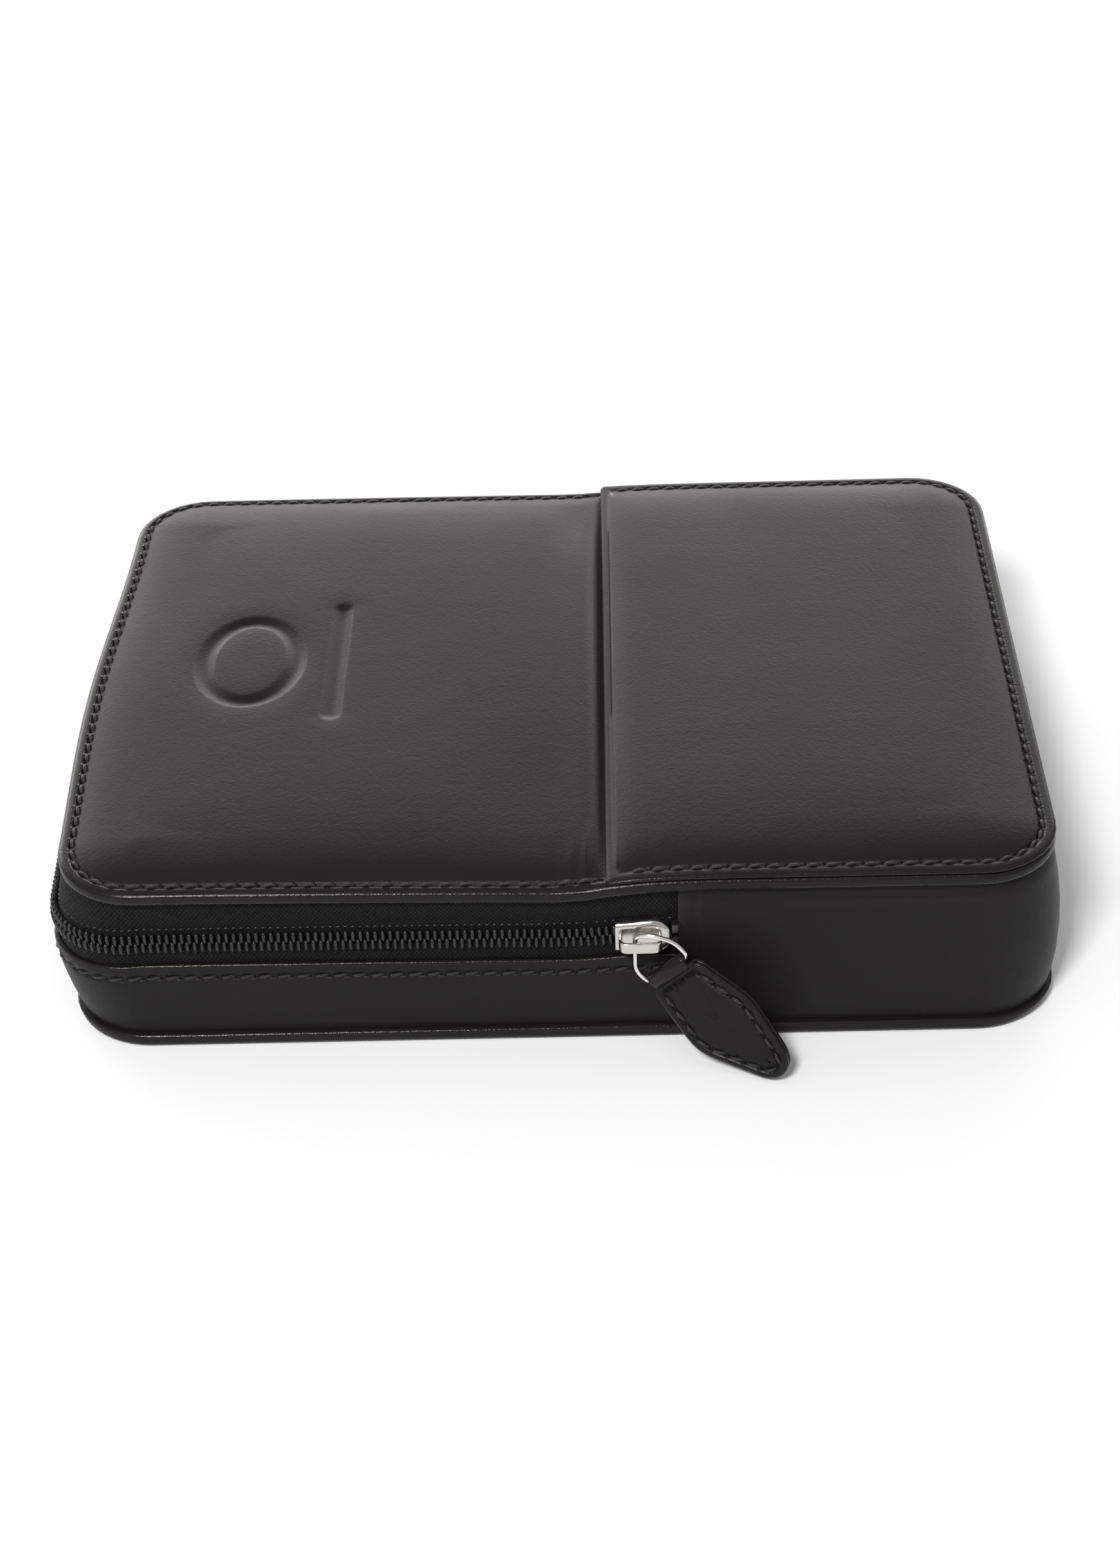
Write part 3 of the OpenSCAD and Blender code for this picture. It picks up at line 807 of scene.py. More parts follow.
scuffs, scuffs_in, scuffs_out = shader_group("scuffs", {"Fine": 0.9}, ["Height", "Dull"])
metal_at = millimetres(scuffs)
stretched = add_node(scuffs, "ShaderNodeMapping", {"Vector": metal_at, "Scale": (0.5, 3.0, 3.0)})
lines_noise = noise(scuffs, stretched, 2.4, 5.0, Roughness=0.65)
smear = noise(scuffs, metal_at, 0.7, 3.0)
scuffs.links.new(reckon(scuffs, lines_noise.outputs["Fac"], scuffs_in.outputs["Fine"],
                        "MULTIPLY").outputs[0], scuffs_out.inputs["Height"])
scuffs.links.new(smear.outputs["Fac"], scuffs_out.inputs["Dull"])


def plated(name, tint, low, high):
    material, tree, shader = surface(name, {"Metallic": 1.0})
    marks = add_node(tree, "ShaderNodeGroup", node_tree=scuffs)
    tone = mixed(tree, marks.outputs["Dull"], tuple(0.82 * c for c in tint) + (1,), tint + (1,))
    gloss = add_node(tree, "ShaderNodeMapRange", {0: marks.outputs["Dull"], 1: 0.3, 2: 0.7, 3: low,
                                                  4: high})
    bump = bumped(tree, 0.000012, marks.outputs["Height"])
    feed(tree, shader, Base_Color=tone, Roughness=gloss, Normal=bump)
    return material


nickel = plated("nickel_plate", (0.68, 0.66, 0.62), 0.10, 0.26)
finish_nodes(plated("stop_metal", (0.16, 0.155, 0.15), 0.3, 0.5), "zip_top_stops", "zip_bottom_stop")

slider_x, slider_z = 14.45, 21.6
plate_front = -67.0


def bevelled(piece, width, segments=3):
    modifier = piece.modifiers.new("bevel", "BEVEL")
    modifier.width, modifier.segments = width * 0.001, segments
    modifier.limit_method = "ANGLE"
    modifier.angle_limit = math.radians(40)
    modifier.harden_normals = False
    graph = bpy.context.evaluated_depsgraph_get()
    mesh = bpy.data.meshes.new_from_object(piece.evaluated_get(graph))
    piece.modifiers.clear()
    piece.data = mesh
    mesh.shade_smooth()
    return piece


def shell_plate(stations, section, thickness):
    """A pressed plate: for each (x, half height) a section from its lower flange to its
    upper one, as (share of half height, depth behind the face), given a thickness."""
    outside, inside = [], []
    for x, half in stations:
        line = np.array([(s * half, d) for s, d in section])
        step = np.gradient(line, axis=0)
        normal = np.c_[-step[:, 1], step[:, 0]]
        normal /= np.linalg.norm(normal, axis=1)[:, None]
        back = line + normal * thickness
        outside.append([(x, plate_front + d, slider_z + z) for z, d in line])
        inside.append([(x, plate_front + d, slider_z + z) for z, d in back])
    outside, inside = np.array(outside), np.array(inside)
    count = len(section)
    closed_section = np.concatenate([outside, inside[:, ::-1]], 1)
    along = np.arange(len(stations)) * 1.0
    parts = [lattice(closed_section, along, np.arange(2 * count + 1) * 1.0 + untouched)]
    return parts + strip_caps(closed_section)


half_slider = 4.55
stations = [(-half_slider, 2.85), (-half_slider + 0.25, 2.98), (-3.2, 3.0), (-1.4, 3.12), (0.2, 3.32),
            (1.4, 3.42), (2.5, 3.36), (3.3, 3.05), (3.9, 2.62), (4.3, 2.2), (half_slider, 1.7)]
flange_line = [(-1.0, 1.75), (-1.0, 1.2), (-0.99, 0.75), (-0.95, 0.4), (-0.86, 0.14), (-0.7, 0.02),
               (-0.35, 0.0), (0.0, 0.0), (0.35, 0.0), (0.7, 0.02), (0.86, 0.14), (0.95, 0.4),
               (0.99, 0.75), (1.0, 1.2), (1.0, 1.75)]
front_plate = shell_plate([(slider_x + x, h) for x, h in stations], flange_line, 0.5)


def slab_outline(shape_points, near, far):
    """A flat plate with the outline given in x and z, between two depths."""
    count = len(shape_points)
    near_face = [(x, near, z) for x, z in shape_points]
    far_face = [(x, far, z) for x, z in shape_points]
    sides = [(k, (k + 1) % count, count + (k + 1) % count, count + k) for k in range(count)]
    return near_face + far_face, sides + [list(range(count)), list(range(count, 2 * count))[::-1]], None


rear = [(slider_x + x, slider_z + h) for x, h in stations]
rear += [(slider_x + x, slider_z - h) for x, h in reversed(stations)]
rear_part = slab_outline(rear, -64.0, -63.2)
post = slab_outline([(slider_x + 1.0, slider_z - 0.25), (slider_x + 3.8, slider_z - 0.25),
                     (slider_x + 3.8, slider_z + 0.25), (slider_x + 1.0, slider_z + 0.25)],
                    -66.6, -63.9)
slider = tidy_piece("slider_shell", front_plate + [rear_part, post], nickel)
bevelled(slider, 0.16)
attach(slider, "slider")
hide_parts("slider_body")


def smooth_line(points, radius, steps=5, closed=False):
    """A polyline with its bends rounded."""
    points = [np.array(p, float) for p in points]
    made, count = [], len(points)
    for k in range(count):
        if not closed and k in (0, count - 1):
            made.append(points[k])
            continue
        here = points[k]
        before, after = points[k - 1] - here, points[(k + 1) % count] - here
        reach = min(radius, 0.45 * np.linalg.norm(before), 0.45 * np.linalg.norm(after))
        made += bend_points(before, here, after, reach, steps)
    return np.array(made)


def bar_along(line, section, closed=False, side=(0, 0, 1)):
    """A section of (across, side) points carried along a line."""
    line = np.asarray(line, float)
    if closed:
        tangent = np.roll(line, -1, 0) - np.roll(line, 1, 0)
    else:
        tangent = np.gradient(line, axis=0)
    tangent /= np.linalg.norm(tangent, axis=1)[:, None]
    side = np.asarray(side, float)
    third = side - tangent * (tangent @ side)[:, None]
    third /= np.linalg.norm(third, axis=1)[:, None]
    other = np.cross(third, tangent)
    section = np.asarray(section, float)
    rings = line[:, None] + other[:, None] * section[None, :, :1] + third[:, None] * section[None, :, 1:]
    if closed:
        rings = np.concatenate([rings, rings[:1]])
    parts = [lattice(rings, np.arange(len(rings)) * 1.0, np.arange(len(section) + 1) * 1.0 + untouched)]
    return parts if closed else parts + caps(rings[0], rings[-1])


strap_line = smooth_line([
    (slider_x - 3.65, plate_front + 0.1, slider_z), (slider_x - 3.68, plate_front - 2.67, slider_z),
    (slider_x + 3.08, plate_front - 2.67, slider_z), (slider_x + 3.0, plate_front + 0.1, slider_z)], 1.25)
strap_section = rounded([(-0.32, -1.05, 0.28), (0.32, -1.05, 0.28), (0.32, 1.05, 0.28),
                         (-0.32, 1.05, 0.28)], 3)
bridge = tidy_piece("slider_strap", bar_along(strap_line, strap_section), nickel)
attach(bridge, "slider")
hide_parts("slider_bridge")

# ---- Pull ring ----
# A bent wire ring hangs through the strap: its upright side turns under the strap,
# and its slanting side carries the leather pull.

bright = plated("bright_nickel", (0.86, 0.85, 0.82), 0.08, 0.18)
ring_x, ring_y, ring_angle = 13.2, -68.6, math.radians(12)
ring_line = np.array([(0, 16), (0, 23.3), (2.5, 24), (6.8, 23), (9.1, 20.2), (2.5, 13.6)], float)
ring_line = smooth_line(np.c_[ring_line[:, 0], ring_line[:, 0] * 0, ring_line[:, 1]], 1.5, 6, True)
turn_in = np.array([[math.cos(ring_angle), math.sin(ring_angle), 0],
                    [-math.sin(ring_angle), math.cos(ring_angle), 0], [0, 0, 1]])
ring_line = ring_line @ turn_in.T + np.array([ring_x, ring_y, 0])
wire_section = [(0.42 * math.cos(a), 0.42 * math.sin(a)) for a in np.linspace(0, 2 * math.pi, 13)[:-1]]
ring_side = turn_in @ np.array([0, 1, 0])
ring_piece = tidy_piece("pull_ring_wire", bar_along(ring_line, wire_section, True, ring_side), bright)
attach(ring_piece, "pull_ring")
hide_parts("pull_ring")

# ---- Leather pull ----
# A leaf cut double from one strip, folded round the ring's bar and sewn through
# both layers near the edge. Its cut edges are dyed and burnished.

bar_place = np.array([(9.1 + 2.5) / 2, 0, (20.2 + 13.6) / 2])
quarter, lean = math.radians(45), math.radians(12)
turn_bar = np.array([[math.cos(quarter), 0, math.sin(quarter)], [0, 1, 0],
                     [-math.sin(quarter), 0, math.cos(quarter)]])
turn_lean = np.array([[math.cos(lean), math.sin(lean), 0], [-math.sin(lean), math.cos(lean), 0],
                      [0, 0, 1]])
pull_turn = turn_in @ turn_bar @ turn_lean
pull_origin = turn_in @ bar_place + np.array([ring_x, ring_y, 0])


def on_pull(points):
    return np.asarray(points, float) @ pull_turn.T + pull_origin


leaf_ends = [(2.2, -3.6, 1.5), (2.2, 4.6, 1.5), (12.4, 1.4, 7.4), (22.2, 3.6, 3.7)]


def leaf_outline(shrink, count=120):
    """The pull's edge, set in by shrink, as evenly spaced (along, across) points."""
    angles = np.linspace(0, 2 * math.pi, 181)[:-1]
    cloud = np.vstack([np.c_[x + (r - shrink) * np.cos(angles), z + (r - shrink) * np.sin(angles)]
                       for x, z, r in leaf_ends if r - shrink > 0.01] or [np.zeros((1, 2))])
    middle = np.array([11.5, 1.5])
    directions = np.linspace(-math.pi, math.pi, 721)[:-1]
    unit = np.c_[np.cos(directions), np.sin(directions)]
    support = (cloud @ unit.T).max(0)
    corners = []
    for k in range(len(unit)):
        a, b = unit[k], unit[(k + 1) % len(unit)]
        corners.append(np.linalg.solve(np.array([a, b]), [support[k], support[(k + 1) % len(unit)]]))
    corners = np.array(corners)
    order = np.argsort(np.arctan2(corners[:, 1] - middle[1], corners[:, 0] - middle[0]))
    corners = corners[order]
    ringed = np.vstack([corners, corners[:1]])
    length = np.r_[0, np.cumsum(np.linalg.norm(np.diff(ringed, axis=0), axis=1))]
    keep = np.linspace(0, length[-1], count + 1)
    return np.c_[np.interp(keep, length, ringed[:, 0]), np.interp(keep, length, ringed[:, 1])], keep


edge_line, edge_along = leaf_outline(0.0)
edge_line = edge_line[:-1]
for _ in range(6):
    edge_line = (np.roll(edge_line, 1, 0) + 2 * edge_line + np.roll(edge_line, -1, 0)) / 4
edge_turn = np.roll(edge_line, -1, 0) - np.roll(edge_line, 1, 0)
edge_out = np.c_[edge_turn[:, 1], -edge_turn[:, 0]] / np.linalg.norm(edge_turn, axis=1)[:, None]
pull_centre = np.array([12.0, 1.6])
pull_row = 1.7


def leaf_layer(face, back):
    """One layer: rings from the cut edge inwards to the middle. Depth is along -Y for
    the outer face. The face rises inside the stitches and dips at them."""
    insets = [0.25, 0.06, 0.0, 0.06, 0.3, 0.7, 1.2, 1.55, 1.7, 1.85, 2.2, 3.0, 4.2]
    depth = [0, 0.2, 0.5, 0.82, 0.97, 1.0, 0.98, 0.86, 0.82, 0.86, 0.97, 1.05, 1.1]
    rings, rows_v = [], []
    for inset, share in zip(insets, depth):
        flat = edge_line - edge_out * inset
        rings.append(np.c_[flat[:, 0], np.full(len(flat), back + (face - back) * share), flat[:, 1]])
        rows_v.append(inset - pull_row if inset > 0.3 else 90.0)
    last = rings[-1]
    centre = np.array([pull_centre[0], back + (face - back) * 1.12, pull_centre[1]])
    for share in (0.75, 0.5, 0.25, 0.08):
        ring = centre + (last - centre) * share
        ring[:, 1] = back + (face - back) * (1.12 - 0.02 * share ** 2)
        rings.append(ring)
        rows_v.append(50.0)
    lines = np.array(rings)
    count = lines.shape[1]
    wrapped = np.concatenate([lines, lines[:, :1]], 1)
    points, faces, uvs = lattice(wrapped, np.array(rows_v), edge_along, wrap_across=False)
    uvs = uvs[:, ::-1]
    return [(on_pull(points), faces, uvs), (on_pull(lines[-1]), [list(range(count))], None),
            (on_pull(lines[0]), [list(range(count))[::-1]], None)]


pull_leather = leather("pull_leather", pebble=0.42, dull=0.46,
                       pitch=fitted_pitch(edge_along[-1] - 13.0, 3.0))
fold_arc = np.radians(np.linspace(90, 270, 15))
fold_outer = np.c_[1.42 * np.cos(fold_arc), 1.42 * np.sin(fold_arc)]
fold_inner = np.c_[0.52 * np.cos(fold_arc[::-1]), 0.52 * np.sin(fold_arc[::-1])]
fold_section = np.vstack([[(1.6, 1.0)], fold_outer, [(1.6, -1.0)], [(1.6, -0.1)], fold_inner,
                          [(1.6, 0.1)]])
fold_stations = [(-4.0, 0.93), (-3.85, 1.0), (3.85, 1.0), (4.0, 0.93)]
fold_rings = np.array([[(x * s, y * s, z) for x, y in fold_section] for z, s in fold_stations])
count = len(fold_section)
fold_points, fold_faces, fold_uvs = lattice(fold_rings, np.arange(4.0),
                                            np.arange(count + 1.0) + untouched)
fold_parts = [(on_pull(fold_points), fold_faces, fold_uvs)]
fold_parts += [(on_pull(fold_rings[k]), [list(range(count))], None) for k in (0, -1)]
pull_front = tidy_piece("pull_front", leaf_layer(-1.0, -0.02) + fold_parts, pull_leather)
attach(pull_front, "pull_tab")
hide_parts("pull_front_leather")
pull_back = tidy_piece("pull_back", leaf_layer(1.0, 0.02), pull_leather)
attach(pull_back, "pull_tab")
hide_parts("pull_back_leather")

row_line = edge_line - edge_out * pull_row
start_at = int(np.argmin(np.abs(row_line[:, 0] - 4.4) + 100 * (row_line[:, 1] > 0)))
row_line = np.roll(row_line, -start_at, 0)
row_line = row_line[(row_line[:, 0] > 4.3)]
pull_rows = []
for face in (-1, 1):
    points = on_pull(np.c_[row_line[:, 0], np.full(len(row_line), face * 0.88), row_line[:, 1]])
    up = pull_turn @ np.array([0, face, 0])
    pull_rows.append((points, np.repeat([up], len(points), 0)))
pull_stitches = grown("pull_stitches", pull_rows, stitching, thread,
                      {"Pitch": 0.0030, "Length": 0.0021, "Hump": 0.0004})
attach(pull_stitches, "pull_tab")

# ---- Top cover ----
# One piece of leather covers the lid and the closed half. Over the lid it is laid on
# thin foam; it is turned in round the boards and stitched down.
# A plain oval and a bar are pressed into it in place of a mark.

pad_inset = [1.7, 2.1, 2.4, 2.8, 3.4, 4.4, 5.6, 7.0, 8.6, 10.4, 12.2, 14.0]
oval_place, oval_size = (-57.0, 1.5), (8.6, 13.5)
bar_x, bar_y = -40.8, (-16.5, 19.0)
press_depth = 0.5


def cushion(inset, levels, full):
    """Height of a pad by distance from its edge: levels as far as the corner's radius,
    then easing up to full."""
    eased = full - (full - levels[-1]) * np.exp(-np.maximum(inset - corner, 0) / 8)
    return np.where(inset > corner, eased, np.interp(inset, pad_inset, levels))


def pressed(x, y):
    """Depth of the pressed oval ring and bar, with the leather drawn in round them."""
    scale = np.hypot((x - oval_place[0]) / oval_size[0] ** 2, (y - oval_place[1]) / oval_size[1] ** 2)
    level = np.hypot((x - oval_place[0]) / oval_size[0], (y - oval_place[1]) / oval_size[1])
    to_ring = np.abs(level - 1) * level / np.maximum(scale, 1e-6)
    middle_y = np.clip(y, bar_y[0], bar_y[1])
    to_bar = np.hypot(x - bar_x, y - middle_y)
    to_ring = np.where(level < 0.3, 9.0, to_ring)
    groove = (press_depth * (1 - soft_step(to_ring, 0.2, 2.1))
              + press_depth * (1 - soft_step(to_bar, 0.2, 2.2)))
    halo = 0.22 * np.exp(-(to_ring / 3.5) ** 2) + 0.18 * np.exp(-(to_bar / 3.5) ** 2)
    return np.minimum(groove, press_depth) + np.minimum(halo, 0.25)


def lid_height(x, y, inset):
    """The outer face: a dip at the stitches, a foam pad over the lid that thins towards
    the fold, soft unevenness, and creases where it meets the pocket."""
    pad = cushion(inset, [0.0, -0.1, -0.2, -0.08, 0.14, 0.5, 0.84, 1.14, 1.4, 1.61, 1.78, 1.91], 2.45)
    near_fold = np.clip((8.3 - x) / 4.6, 0, 1)
    thin = 1 - (1 - near_fold) ** 2.6
    uneven = 0.09 * np.sin(x * 0.075 + 0.6) * np.sin(y * 0.06 + 1.1)
    hollow = (0.45 * np.exp(-((x - 3.5) / 4.5) ** 2 - ((y - 52) / 11) ** 2)
              + 0.30 * np.exp(-((x + 6) / 12) ** 2 - ((y + 40) / 18) ** 2))
    crease = 0.30 * np.exp(-((x - 5.2 - 0.05 * (y + 60)) / 0.8) ** 2) * soft_step(-y, 48, 60)
    crease = crease + 0.22 * np.exp(-((x - 2.6 - 0.12 * (y + 60)) / 0.9) ** 2) * soft_step(-y, 52, 62)
    inside = soft_step(inset, 3, 11)
    lid = np.where(pad > 0, pad * thin, pad) + (uneven - hollow) * inside * thin
    lid = lid + crease * soft_step(inset, 0.4, 2.0) - pressed(x, y) * inside
    flat = np.interp(inset, [1.7, 2.4, 3.4], [0.0, -0.04, 0.0])
    return lip_top + np.where(x < 8.2, lid, flat)


edge_blend = 5.0


def ring_of(x_ends, y_half, radii, x_lines, y_lines, inset, turn=9):
    """One line round a panel, at an inset, whose straight runs follow the inner lines."""
    corner_radii = [max(radii[0] - inset, 0.0), max(radii[1] - inset, 0.0)]
    centre = [x_ends[0] + max(radii[0], inset), x_ends[1] - max(radii[1], inset)]
    centre_y = [y_half - max(radii[0], inset), y_half - max(radii[1], inset)]
    tx = (x_lines - x_lines[0]) / (x_lines[-1] - x_lines[0])
    ty = (y_lines - y_lines[0]) / (y_lines[-1] - y_lines[0])
    bend = np.radians(np.linspace(0, 90, turn + 1)[1:-1])
    run_x = centre[0] + tx * (centre[1] - centre[0])
    slant_y = centre_y[0] + corner_radii[0] + tx * (centre_y[1] + corner_radii[1]
                                                    - centre_y[0] - corner_radii[0])
    front = np.c_[run_x, -slant_y]
    right_turn = np.c_[centre[1] + corner_radii[1] * np.sin(bend),
                       -centre_y[1] - corner_radii[1] * np.cos(bend)]
    right = np.c_[np.full(len(ty), centre[1] + corner_radii[1]), -centre_y[1] + ty * 2 * centre_y[1]]
    back_turn = np.c_[centre[1] + corner_radii[1] * np.cos(bend),
                      centre_y[1] + corner_radii[1] * np.sin(bend)]
    back = np.c_[run_x, slant_y][::-1]
    left_turn = np.c_[centre[0] - corner_radii[0] * np.sin(bend),
                      centre_y[0] + corner_radii[0] * np.cos(bend)]
    left_y = centre_y[0] - ty * 2 * centre_y[0]
    left_x = np.full(len(ty), centre[0] - corner_radii[0])
    left = np.c_[left_x - bowed(left_x, left_y) * (1 - min(inset / corner, 1) ** 2), left_y]
    front_turn = np.c_[centre[0] - corner_radii[0] * np.cos(bend),
                       -centre_y[0] - corner_radii[0] * np.sin(bend)]
    line = np.vstack([front, right_turn, right, back_turn, back, left_turn, left, front_turn])
    return np.vstack([line, line[:1]])


def panel(x_ends, y_half, radii, x_lines, y_lines, rim, rings, height, under, lift, unsewn=-99):
    """A closed panel: its turned rim from below, its outer face, and its inner face. It
    has no stitches where x is below unsewn."""
    deepest = rings[-1]

    def line(inset):
        return ring_of(x_ends, y_half, radii, x_lines, y_lines, inset)

    row = line(row_inset)
    along = np.r_[0, np.cumsum(np.linalg.norm(np.diff(row, axis=0), axis=1))]
    levels, spread = [], []
    for inset, z in under[::-1] + rim:
        flat = line(inset)
        levels.append(np.c_[flat, np.full(len(flat), z)])
        spread.append(inset - row_inset if (inset, z) in rim[len(rim) // 2:] else 90.0)
    for inset in rings:
        flat = line(inset)
        levels.append(np.c_[flat, height(flat[:, 0], flat[:, 1], np.full(len(flat), inset))])
        spread.append(inset - row_inset)
    points = np.array(levels)
    face_points, faces, uvs = lattice(points, np.array(spread), along, wrap_across=False)
    uvs[face_points[faces.ravel(), 0] < unsewn, 0] = 90.0
    parts = [(face_points, faces, uvs[:, ::-1])]
    gx, gy = np.meshgrid(x_lines, y_lines, indexing="ij")
    reach = np.stack([gx - x_ends[0], x_ends[1] - gx, y_half - gy, y_half + gy])
    inner = -edge_blend * np.log(np.exp(-reach / edge_blend).sum(0))
    for z in (height(gx, gy, np.maximum(inner, deepest)), np.full(gx.shape, under[-1][1])):
        sheet_points, sheet_faces, _ = lattice(np.stack([gx, gy, z], -1), x_lines, y_lines,
                                               wrap_across=False)
        parts.append((sheet_points, sheet_faces, None))
    lifted = []
    for part_points, part_faces, part_uvs in parts:
        moved_points = np.array(part_points)
        moved_points[:, 2] += lift(moved_points[:, 0], moved_points[:, 1], moved_points[:, 2])
        lifted.append((moved_points, part_faces, part_uvs))
    return lifted, along[-1], row


x_lines = np.unique(np.round(np.r_[np.linspace(-71, -68.5, 3), np.arange(-68, -37.9, 0.5),
                                   np.arange(-37, 2.1, 1.0), np.arange(2.5, 9.3, 0.4),
                                   np.arange(10, 71, 5), 71], 3))
y_lines = np.unique(np.round(np.r_[np.arange(-53, -18.9, 1.0), np.arange(-18.5, 20.6, 0.5),
                                   np.arange(21, 53.1, 1.0)], 3))
cover_rim = [(2.15, 30.42), (1.4, 30.40), (0.75, 30.47), (0.35, 30.62), (0.1, 30.92), (0.0, 31.35),
             (0.0, 31.8), (0.07, 32.18), (0.24, 32.48), (0.52, 32.71), (0.95, 32.88), (1.4, 32.96)]
cover_under = [(2.15, 30.78), (1.02, 30.78), (1.02, 32.03), (3.0, 32.03), (8.0, 32.03), (14.0, 32.03)]
cover_parts, cover_length, cover_row = panel(
    (-half_length, half_length), half_width, (corner, corner), x_lines, y_lines, cover_rim,
    pad_inset, lid_height, cover_under, droop)
cover_pitch = fitted_pitch(cover_length)
top_leather = leather("top_leather", pitch=cover_pitch)
cover = tidy_piece("top_cover", cover_parts, top_leather)
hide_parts("lid_leather", "fixed_top_leather", "lid_foam")
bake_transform(cover)


def top_row(line, height, x_limits, pitch, rise=0.06):
    """Stitches along part of a panel's row, at the face's own height and in step with
    the dents, which are counted from the row's first point."""
    along = np.r_[0, np.cumsum(np.linalg.norm(np.diff(line, axis=0), axis=1))]
    z = height(line[:, 0], line[:, 1], np.full(len(line), row_inset)) + rise
    points = np.c_[line, z + droop(line[:, 0], line[:, 1], z)]
    keep = (line[:, 0] >= x_limits[0]) & (line[:, 0] <= x_limits[1])
    ends_at = np.flatnonzero(np.diff(np.r_[0, keep.astype(int), 0]))
    runs = []
    for start, stop in zip(ends_at[::2], ends_at[1::2]):
        places = np.arange(math.ceil(along[start] / pitch - 0.01) * pitch, along[stop - 1], 0.6)
        if len(places) > 4:
            run = np.stack([np.interp(places, along, points[:, axis]) for axis in range(3)], -1)
            runs.append((run, np.repeat([(0.0, 0.0, 1.0)], len(run), 0)))
    return runs


# The boards under the cover sink and rise with it
def board_height(x, y, inset):
    return 31.98 + 0 * x


board_inset = 1.05
for name, ends, radii, inner_x, body in (
        ("lid_stiffener", (-half_length + board_inset, 6.3), (corner - board_inset, 1.0),
         np.linspace(-71, -7.7, 40), "lid"),
        ("fixed_stiffener", (6.7, half_length - board_inset), (1.0, corner - board_inset),
         np.linspace(20.7, 71, 30), "case")):
    board_parts, _, _ = panel(ends, half_width - board_inset, radii, inner_x, np.linspace(-53, 53, 60),
                              [(0.0, 30.82), (0.0, 31.97)], [0.3, 4.0, 9.0, 13.95], board_height,
                              [(0.3, 30.81), (4.0, 30.81), (9.0, 30.81), (13.95, 30.81)], droop)
    stiffener = tidy_piece(name, board_parts, board)
    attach(stiffener, body)
    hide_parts({"lid": "lid_board", "case": "fixed_top_board"}[body])

lid_stitches = grown("lid_stitches", top_row(cover_row, lid_height, (-99, 5.0), cover_pitch),
                     stitching, thread, {"Pitch": cover_pitch * 0.001})
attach(lid_stitches, "lid")

# ---- Pocket ----
# A second piece of padded leather lies over the closed half. It is sewn down round
# three sides, and its free edge, turned under, opens towards the lid.

pocket_edge = 8.5


def pocket_height(x, y, inset):
    reach = np.stack([half_length - x, half_width - y, half_width + y])
    rim_inset = reach.min(0)
    blended = np.maximum(-edge_blend * np.log(np.exp(-reach / edge_blend).sum(0)), corner)
    rim_inset = np.where(rim_inset > corner, blended, rim_inset)
    corner_x = np.maximum(x - (half_length - corner), 0)
    corner_y = np.maximum(np.abs(y) - (half_width - corner), 0)
    rounded_inset = np.where((corner_x > 0) & (corner_y > 0), corner - np.hypot(corner_x, corner_y),
                             rim_inset)
    edge = x - pocket_edge
    rim = cushion(rounded_inset, [0.0, -0.1, -0.2, -0.08, 0.12, 0.42, 0.7, 0.95, 1.15, 1.31, 1.43, 1.52],
                  1.9)
    free = np.interp(edge, [0, 0.5, 1.2, 2.4, 4.0, 6.5, 10, 90], [0.0, 0.22, 0.4, 0.6, 0.78, 0.93, 1, 1])
    uneven = 0.07 * np.sin(x * 0.07 + 1.3) * np.sin(y * 0.06 + 0.4)
    inside = soft_step(np.minimum(rounded_inset, edge + 2), 3, 11)
    return lip_top + 1.0 + np.where(rim > 0, rim * free, rim) + uneven * inside


pocket_x = np.unique(np.round(np.r_[pocket_edge + 14, np.arange(24, 70, 1.6), 71], 3))
pocket_y = np.unique(np.round(np.linspace(-53, 53, 71), 3))
pocket_rim = [(1.6, 33.03), (0.5, 33.04), (0.12, 33.16), (0.0, 33.4), (0.07, 33.62), (0.24, 33.79),
              (0.52, 33.91), (0.95, 33.98), (1.4, 34.01)]
pocket_under = [(3.0, 33.03), (8.0, 33.03), (14.0, 33.03)]
pocket_parts, pocket_length, pocket_row = panel(
    (pocket_edge, half_length), half_width, (1.0, corner), pocket_x, pocket_y, pocket_rim,
    pad_inset, pocket_height, pocket_under, droop, pocket_edge + 5.7)
pocket_pitch = fitted_pitch(pocket_length)
pocket_leather = leather("pocket_leather", pitch=pocket_pitch)
pocket = tidy_piece("pocket_cover", pocket_parts, pocket_leather)
# The free edge keeps a quarter of the edge mark: less paler tone, which is partly painted highlight, and less
# gloss
edge_wear_and_highlight_data = pocket.data.attributes["edge_wear_and_highlight"].data
for point in pocket.data.vertices:
    if point.co.x < (pocket_edge + 2) * 0.001:
        edge_wear_and_highlight_data[point.index].value *= 0.25
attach(pocket, "case")
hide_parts("pocket_leather", "pocket_foam")
pocket_stitches = grown("pocket_stitches", top_row(pocket_row, pocket_height, (pocket_edge + 2.45, 99),
                        pocket_pitch), stitching, thread, {"Pitch": pocket_pitch * 0.001})
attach(pocket_stitches, "case")

# ---- Lining of the top ----
# The plush lining of the lid runs on over the closed half in one piece, glued to
# the boards.

lining_x = np.unique(np.round(np.r_[-71, np.arange(-66, 2, 4.0), np.arange(2.5, 10.6, 0.5),
                                    np.arange(14, 70, 4.0), 71], 3))
lining_y = np.unique(np.round(np.linspace(-53, 53, 40), 3))


def lining_height(x, y, inset):
    return 30.3 + 0 * x + 0.06 * np.sin(x * 0.2) * np.sin(y * 0.23)


lining_parts, _, _ = panel((-half_length, half_length), half_width, (corner, corner), lining_x,
                           lining_y, [(2.85, 30.7), (2.85, 30.4)], [3.05, 4.5, 8.0, 14.0],
                           lining_height, [(2.95, 30.74), (6.0, 30.74), (14.0, 30.74)], droop)
top_lining = tidy_piece("top_lining", lining_parts, plush)
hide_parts("lid_lining", "fixed_top_lining")
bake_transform(top_lining)

